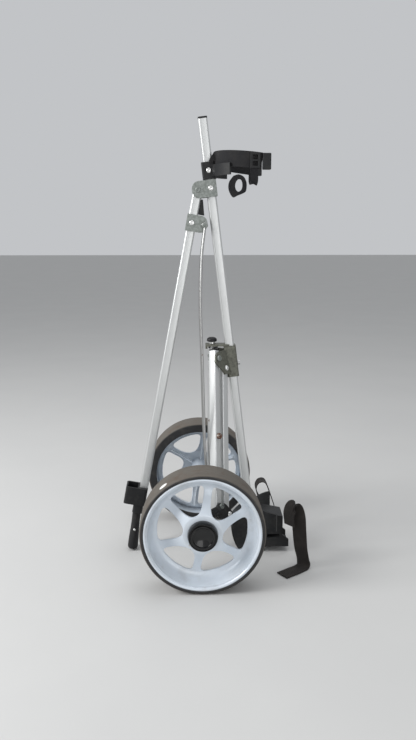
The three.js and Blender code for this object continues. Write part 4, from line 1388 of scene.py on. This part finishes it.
class DrawRods(Maker):
    """The bent steel rods from the draw casting's pin to the feet of the legs."""

    RADIUS = 3 * MM
    EAR = (31.4, -23.0, -78)
    FOOT = (0, -20.5, 358)
    BENDS = (
        (0.008, 0, 0), (0.12, -9, 0), (0.3, -13, 0), (0.5, -9, 2), (0.75, -2, 8), (0.9, 0, 5),
        (0.992, 0, 0),
    )
    EYE = (
        (5.2, -1.5), (5.6, -1.8), (7, -1.8), (7.5, -1.3), (7.5, 1.3), (7, 1.8), (5.6, 1.8),
        (5.2, 1.5), (5.2, -1.5),
    )

    def build(self) -> None:
        """Make a rod for each side."""
        ear = self.layout.handle @ Matrix.Translation(mm(*self.EAR))
        foot = self.layout.leg @ Matrix.Translation(mm(*self.FOOT))
        start, end = ear.to_translation(), foot.to_translation()
        out = self.layout.leg.col[1].to_3d()
        path = [
            start.lerp(end, share) + mm(ahead, 0, 0) - out * inward * MM
            for share, ahead, inward in self.BENDS
        ]
        upright = self.layout.origin @ Matrix.Translation(self.layout.origin.inverted() @ start)
        for side in Side:
            rod = joined(
                wire(curve_through(path, 10), self.RADIUS),
                moved(turned(self.EYE, 36), upright @ TO_THE_RIGHT),
                moved(turned(self.EYE, 36), foot @ OUTWARD),
            )
            seat = Seat("*_draw_rod", "bright_steel", ("*_draw_rod",))
            name = f"{side.value}_draw_rod_bent"
            finish_piece(name, rod, self.finishes.rod_steel, seat, None, SHARP, side)


class Grip(Maker):
    """The moulded grip below the handle's console, with its fixing screw."""

    NECK = 10.8
    LENGTH = 101
    FLATNESS = 1.35
    TOP = -830
    OFFSET = -7
    TILT = math.radians(-3.4)
    SCREW_DOWN = 44
    SCREW = ((0, -1.5), (3, -1.5), (3, 1.2), (2.4, 1.9), (1.3, 2.1), (1.1, 1.2), (0, 1.2))

    def build(self) -> None:
        """Make the grip and its screw."""
        neck, length = self.NECK, self.LENGTH
        end = neck + 2.4
        profile = [
            (0, 0), (end - 5, 0.3), (end - 2.2, 1.2), (end - 0.6, 3), (end, 6), (end, 14),
            (end - 0.4, 28), (end - 1.2, 44), (neck + 0.2, 60), (neck, 74), (neck, length - 1),
            (neck - 1, length), (0, length),
        ]
        tilted = Matrix.Rotation(self.TILT, 4, "Y")
        flat = Matrix.Diagonal((1, self.FLATNESS, 1, 1))
        place = self.layout.handle @ Matrix.Translation(mm(self.OFFSET, 0, self.TOP)) @ tilted
        body = moved(turned(profile, 64), flat @ Matrix.Translation(mm(0, 0, -length)))
        seat = Seat("handle", "black_plastic", ("handle_grip",))
        finish_piece("grip_turned", body, self.finishes.grip, seat, place)
        ahead = self.OFFSET + self.SCREW_DOWN * math.sin(-self.TILT)
        at = mm(ahead, -(neck + 1.6) * self.FLATNESS, self.TOP - self.SCREW_DOWN)
        head = turned(self.SCREW, 32)
        screw_place = self.layout.handle @ Matrix.Translation(at) @ TO_THE_RIGHT
        screw = Seat("handle", "bright_steel", ("grip_screw",))
        finish_piece("grip_screw_turned", head, self.finishes.steel, screw, screw_place)


class LockKnob(Maker):
    """The pull-up knob that locks the legs, on its plunger."""

    PLACE = (29, 0, 552)
    DOME = (
        (0, 0), (10.8, 0), (12, 0.7), (12.5, 2), (12.5, 4.6), (12, 6.4), (10.6, 8.2), (8.4, 9.6),
        (5.4, 10.6), (0, 11),
    )
    STEM = (
        (0, -20), (3.4, -20), (4, -19.4), (4, -5.6), (7.4, -5.6), (8, -5.1), (8, -0.9),
        (7.4, -0.3), (4, -0.3), (4, -0.1), (0, -0.1),
    )

    def build(self) -> None:
        """Make the knob and its plunger."""
        place = self.layout.origin @ Matrix.Translation(mm(*self.PLACE))
        knob = Seat("lock_knob", "gloss_black", ("lock_knob",))
        finish_piece("lock_knob_dome", turned(self.DOME, 64), self.finishes.plastic, knob, place)
        plunger = Seat("lock_knob", "bright_steel", ("lock_plunger",))
        stem = turned(self.STEM, 40)
        finish_piece("lock_plunger_stem", stem, self.finishes.steel, plunger, place)


# ---------------------------------------------------------------- straps


class Straps(Maker):
    """The webbing of both bag brackets."""

    PAD_CENTRE = 136
    PAD_RADIUS = 101.5
    PAD_SPREAD = 91
    PAD_HEIGHT = 984
    PAD_LIFT = 4
    PAD_FALL = 11
    PAD_THICKNESS = 2.6 * MM
    LOWER_THICKNESS = 2.4 * MM
    HANGING_WIDTH = 17 * MM
    WIDTH = 36 * MM
    AHEAD = (1, 0, 0)
    UPRIGHT = (0, 0, 1)
    SIDEWAYS = (0, 1, 0)
    NEAR_LOWER = (
        (221, -93, 100), (218, -95, 130), (224, -98, 150), (234, -101, 152), (241, -103, 128),
        (244, -104, 88), (248, -106, 46), (254, -110, 14), (250, -123, 3), (222, -146, 3),
        (194, -166, 3),
    )
    NEAR_WIDTHS = (
        (0.6, -0.8, 0), (0.62, -0.78, 0), (0.7, -0.7, 0), (0.8, -0.6, 0), (0.86, -0.5, 0),
        (0.86, -0.5, 0), (0.8, -0.6, 0), (0.7, -0.7, 0), (0.66, -0.75, 0), (0.62, -0.78, 0),
        (0.6, -0.8, 0),
    )
    FAR_LOWER = (
        (170, 90), (158, 112), (154, 132), (162, 147), (178, 147), (189, 124), (198, 98),
        (204, 80),
    )
    FAR_AT = 100.7
    HANGING = (
        (119, -105.5, 962), (120, -107, 948), (120, -108.5, 934), (118, -107.5, 927),
        (116, -104, 932), (116, -102, 946),
    )

    LOOP_OUTER = (
        (73.4, 944.6), (64.1, 931.8), (62.3, 917.2), (66.9, 904.4), (73.8, 897.1), (83.2, 901.2),
        (94.5, 905.6), (102.0, 910.7), (103.8, 921.0), (102.9, 931.9), (96.8, 942.8),
        (85.4, 947.9),
    )
    LOOP_INNER = (
        (82.5, 935.5), (78.8, 929.0), (77.7, 920.9), (80.1, 913.6), (84.6, 910.0), (89.2, 911.8),
        (92.5, 915.8), (94.0, 922.4), (93.5, 929.7), (91.6, 934.8), (88.6, 937.0), (85.2, 937.0),
    )
    LOOP_AT = -98
    LOOP_WIDTH = 12 * MM
    LOOP_STEP = 2.5 * MM
    CORNER = (
        (20.6, -24.0, 984.6), (33.0, -24.0, 1004.9), (35.8, -24.0, 985.4), (25.6, -24.0, 977.1),
    )

    def build(self) -> None:
        """Make every strap."""
        new, old = self.finishes.webbing, self.finishes.old_webbing
        pad_path = []
        for degrees in range(-self.PAD_SPREAD, self.PAD_SPREAD + 1, 7):
            angle = math.pi + math.radians(degrees)
            x = self.PAD_CENTRE + self.PAD_RADIUS * math.cos(angle)
            lift = self.PAD_LIFT - self.PAD_FALL * (degrees / self.PAD_SPREAD) ** 2
            pad_path.append((x, self.PAD_RADIUS * math.sin(angle), self.PAD_HEIGHT + lift))
        far = tuple((x, self.FAR_AT, z) for x, z in self.FAR_LOWER)
        band = Strap(pad_path, (self.UPRIGHT,) * len(pad_path), self.WIDTH, self.PAD_THICKNESS)
        fold = Strap(self.HANGING, (self.AHEAD,) * len(self.HANGING), self.HANGING_WIDTH)
        near_strap = Strap(self.NEAR_LOWER, self.NEAR_WIDTHS, self.WIDTH, self.LOWER_THICKNESS)
        far_strap = Strap(far, (self.SIDEWAYS,) * len(far), self.WIDTH, self.LOWER_THICKNESS)
        rows = (
            ("bag_band", band, new, ("upper_bag_pad",)),
            ("hanging_fold", fold, new, ()),
            ("near_lower_band", near_strap, old, ("lower_strap_right",)),
            ("far_lower_band", far_strap, old, ("lower_strap_left",)),
        )
        for name, strap, material, nodes in rows:
            seat = Seat("frame", "black_webbing", nodes)
            finish_piece(name, strap.build(self.layout.origin), material, seat, None, strap.wall)
        loop = Seat("frame", "black_webbing", ("upper_strap_loop",))
        thick = Softening(edge=1.3 * MM, wall=5 * MM, outward=0.0)
        finish_piece("strap_loop_band", self.loop_band(), new, loop, self.layout.origin, thick)
        corner = Softening(edge=0.6 * MM, wall=2.4 * MM, outward=0.0)
        loose = Seat("frame", "black_webbing")
        finish_piece("folded_corner", self.folded_corner(), new, loose, self.layout.origin, corner)

    def loop_band(self) -> Mesh:
        """The loose loop of webbing below the buckle, as a flat ring with its weave map."""
        bm = bmesh.new()
        weave = bm.loops.layers.uv.new(WEAVE_MAP)
        rings = []
        for outline in (self.LOOP_OUTER, self.LOOP_INNER):
            points = [mm(x, self.LOOP_AT, z) for x, z in (*outline, outline[0])]
            rings.append([bm.verts.new(point) for point in curve_through(points, 4)[:-1]])
        outer, inner = rings
        for i, _ in enumerate(outer):
            face = bm.faces.new((outer[i - 1], outer[i], inner[i], inner[i - 1]))
            for loop, (across, along) in zip(face.loops, ((0, -1), (0, 0), (1, 0), (1, -1))):
                loop[weave].uv = (across * self.LOOP_WIDTH, (i + along) * self.LOOP_STEP)
        return bm

    def folded_corner(self) -> Mesh:
        """The band's corner, folded over beside the main tube."""
        bm = bmesh.new()
        weave = bm.loops.layers.uv.new(WEAVE_MAP)
        face = bm.faces.new([bm.verts.new(mm(*point)) for point in self.CORNER])
        for loop in face.loops:
            loop[weave].uv = (loop.vert.co.x, loop.vert.co.z)
        return bm


# ---------------------------------------------------------------- the studio


@dataclass(frozen=True)
class Lamp:
    """A soft rectangular light.

    Attributes:
        place: Where it hangs, in metres.
        size: The length of its sides.
        power: Its power in watts.
    """

    place: tuple[float, float, float]
    size: float
    power: float

    def hang(self, name: str, target: Vector) -> None:
        """Make the light and aim it.

        Args:
            name: The light's name.
            target: The point that it shines at.
        """
        data = bpy.data.lights.new(name, "AREA")
        data.size = self.size
        data.energy = self.power
        lamp = bpy.data.objects.new(name, data)
        lamp.location = self.place
        lamp.rotation_euler = (target - Vector(self.place)).to_track_quat("-Z", "Y").to_euler()
        bpy.context.scene.collection.objects.link(lamp)


class Studio:
    """A pale floor, soft lights and the camera."""

    FLOOR = 40.0
    TARGET = Vector((0, 0, 0.5))
    LAMPS = {
        "key": Lamp((-2.6, -0.9, 1.9), 1.5, 85),
        "fill": Lamp((1.0, -3.2, 1.0), 2.0, 24),
        "top": Lamp((0.2, 0.2, 3.0), 2.4, 26),
    }
    EYE = (-35.18, -1753.88, 831.6)
    PITCH = math.radians(11.365)
    YAW = math.radians(1.781)
    FOCAL_LENGTH = 711.57
    PICTURE_HEIGHT = 740
    SENSOR = 24.0
    REACH = 50
    ROOM_COLOUR = (0.9, 0.92, 0.95, 1)
    ROOM_STRENGTH = 0.6
    FLOOR_COLOURS = ((0.5, 0.5, 0.495), (0.54, 0.54, 0.53))
    FLOOR_ROUGHNESS = 0.8

    def __init__(self, layout: Layout) -> None:
        """Keep the trolley's places."""
        self.layout = layout

    def build(self) -> None:
        """Make the floor, the lights and the camera."""
        self.floor()
        for name, lamp in self.LAMPS.items():
            lamp.hang(name + "_light", self.TARGET)
        world = bpy.data.worlds.new("room")
        world.use_nodes = True
        background = world.node_tree.nodes["Background"]
        background.inputs["Color"].default_value = self.ROOM_COLOUR
        background.inputs["Strength"].default_value = self.ROOM_STRENGTH
        bpy.context.scene.world = world
        bpy.context.scene.view_settings.view_transform = "Standard"
        self.camera()

    def floor(self) -> None:
        """Lay a plain pale floor."""
        s = Shader("floor_paint")
        s.feed("Base Color", s.mix(s.noise(s.place(), 3, 3), *self.FLOOR_COLOURS))
        s.set(Roughness=self.FLOOR_ROUGHNESS)
        bm = bmesh.new()
        bmesh.ops.create_grid(bm, x_segments=1, y_segments=1, size=self.FLOOR / 2)
        mesh = bpy.data.meshes.new("floor")
        bm.to_mesh(mesh)
        bm.free()
        mesh.materials.append(s.material)
        floor = bpy.data.objects.new("floor", mesh)
        bpy.context.scene.collection.objects.link(floor)

    def camera(self) -> None:
        """Put the camera where the object was seen from."""
        data = bpy.data.cameras.new("camera")
        data.sensor_fit = "VERTICAL"
        data.sensor_height = self.SENSOR
        data.lens = self.FOCAL_LENGTH / self.PICTURE_HEIGHT * self.SENSOR
        data.clip_end = self.REACH
        camera = bpy.data.objects.new("camera", data)
        camera.location = self.layout.origin @ mm(*self.EYE)
        level = math.cos(self.PITCH)
        ahead = (math.sin(self.YAW) * level, math.cos(self.YAW) * level, -math.sin(self.PITCH))
        forward = Vector(ahead)
        camera.rotation_euler = forward.to_track_quat("-Z", "Y").to_euler()
        bpy.context.scene.collection.objects.link(camera)
        bpy.context.scene.camera = camera


def main() -> None:
    """Build the trolley piece by piece."""
    logging.basicConfig(level=logging.INFO, format="%(name)s: %(message)s")
    lowest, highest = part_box("right_tyre")
    layout = Layout(axle_x=(lowest.x + highest.x) / 2)
    finishes = Finishes(layout)
    Tubework(layout, finishes).build()
    Fittings(finishes).build()
    Hardware(layout, finishes).build()
    DrawRods(layout, finishes).build()
    Grip(layout, finishes).build()
    LockKnob(layout, finishes).build()
    for side in Side:
        Wheel(layout, finishes, side).build()
    Straps(layout, finishes).build()
    Studio(layout).build()
    log.info("all pieces made")


if __name__ == "__main__":
    main()
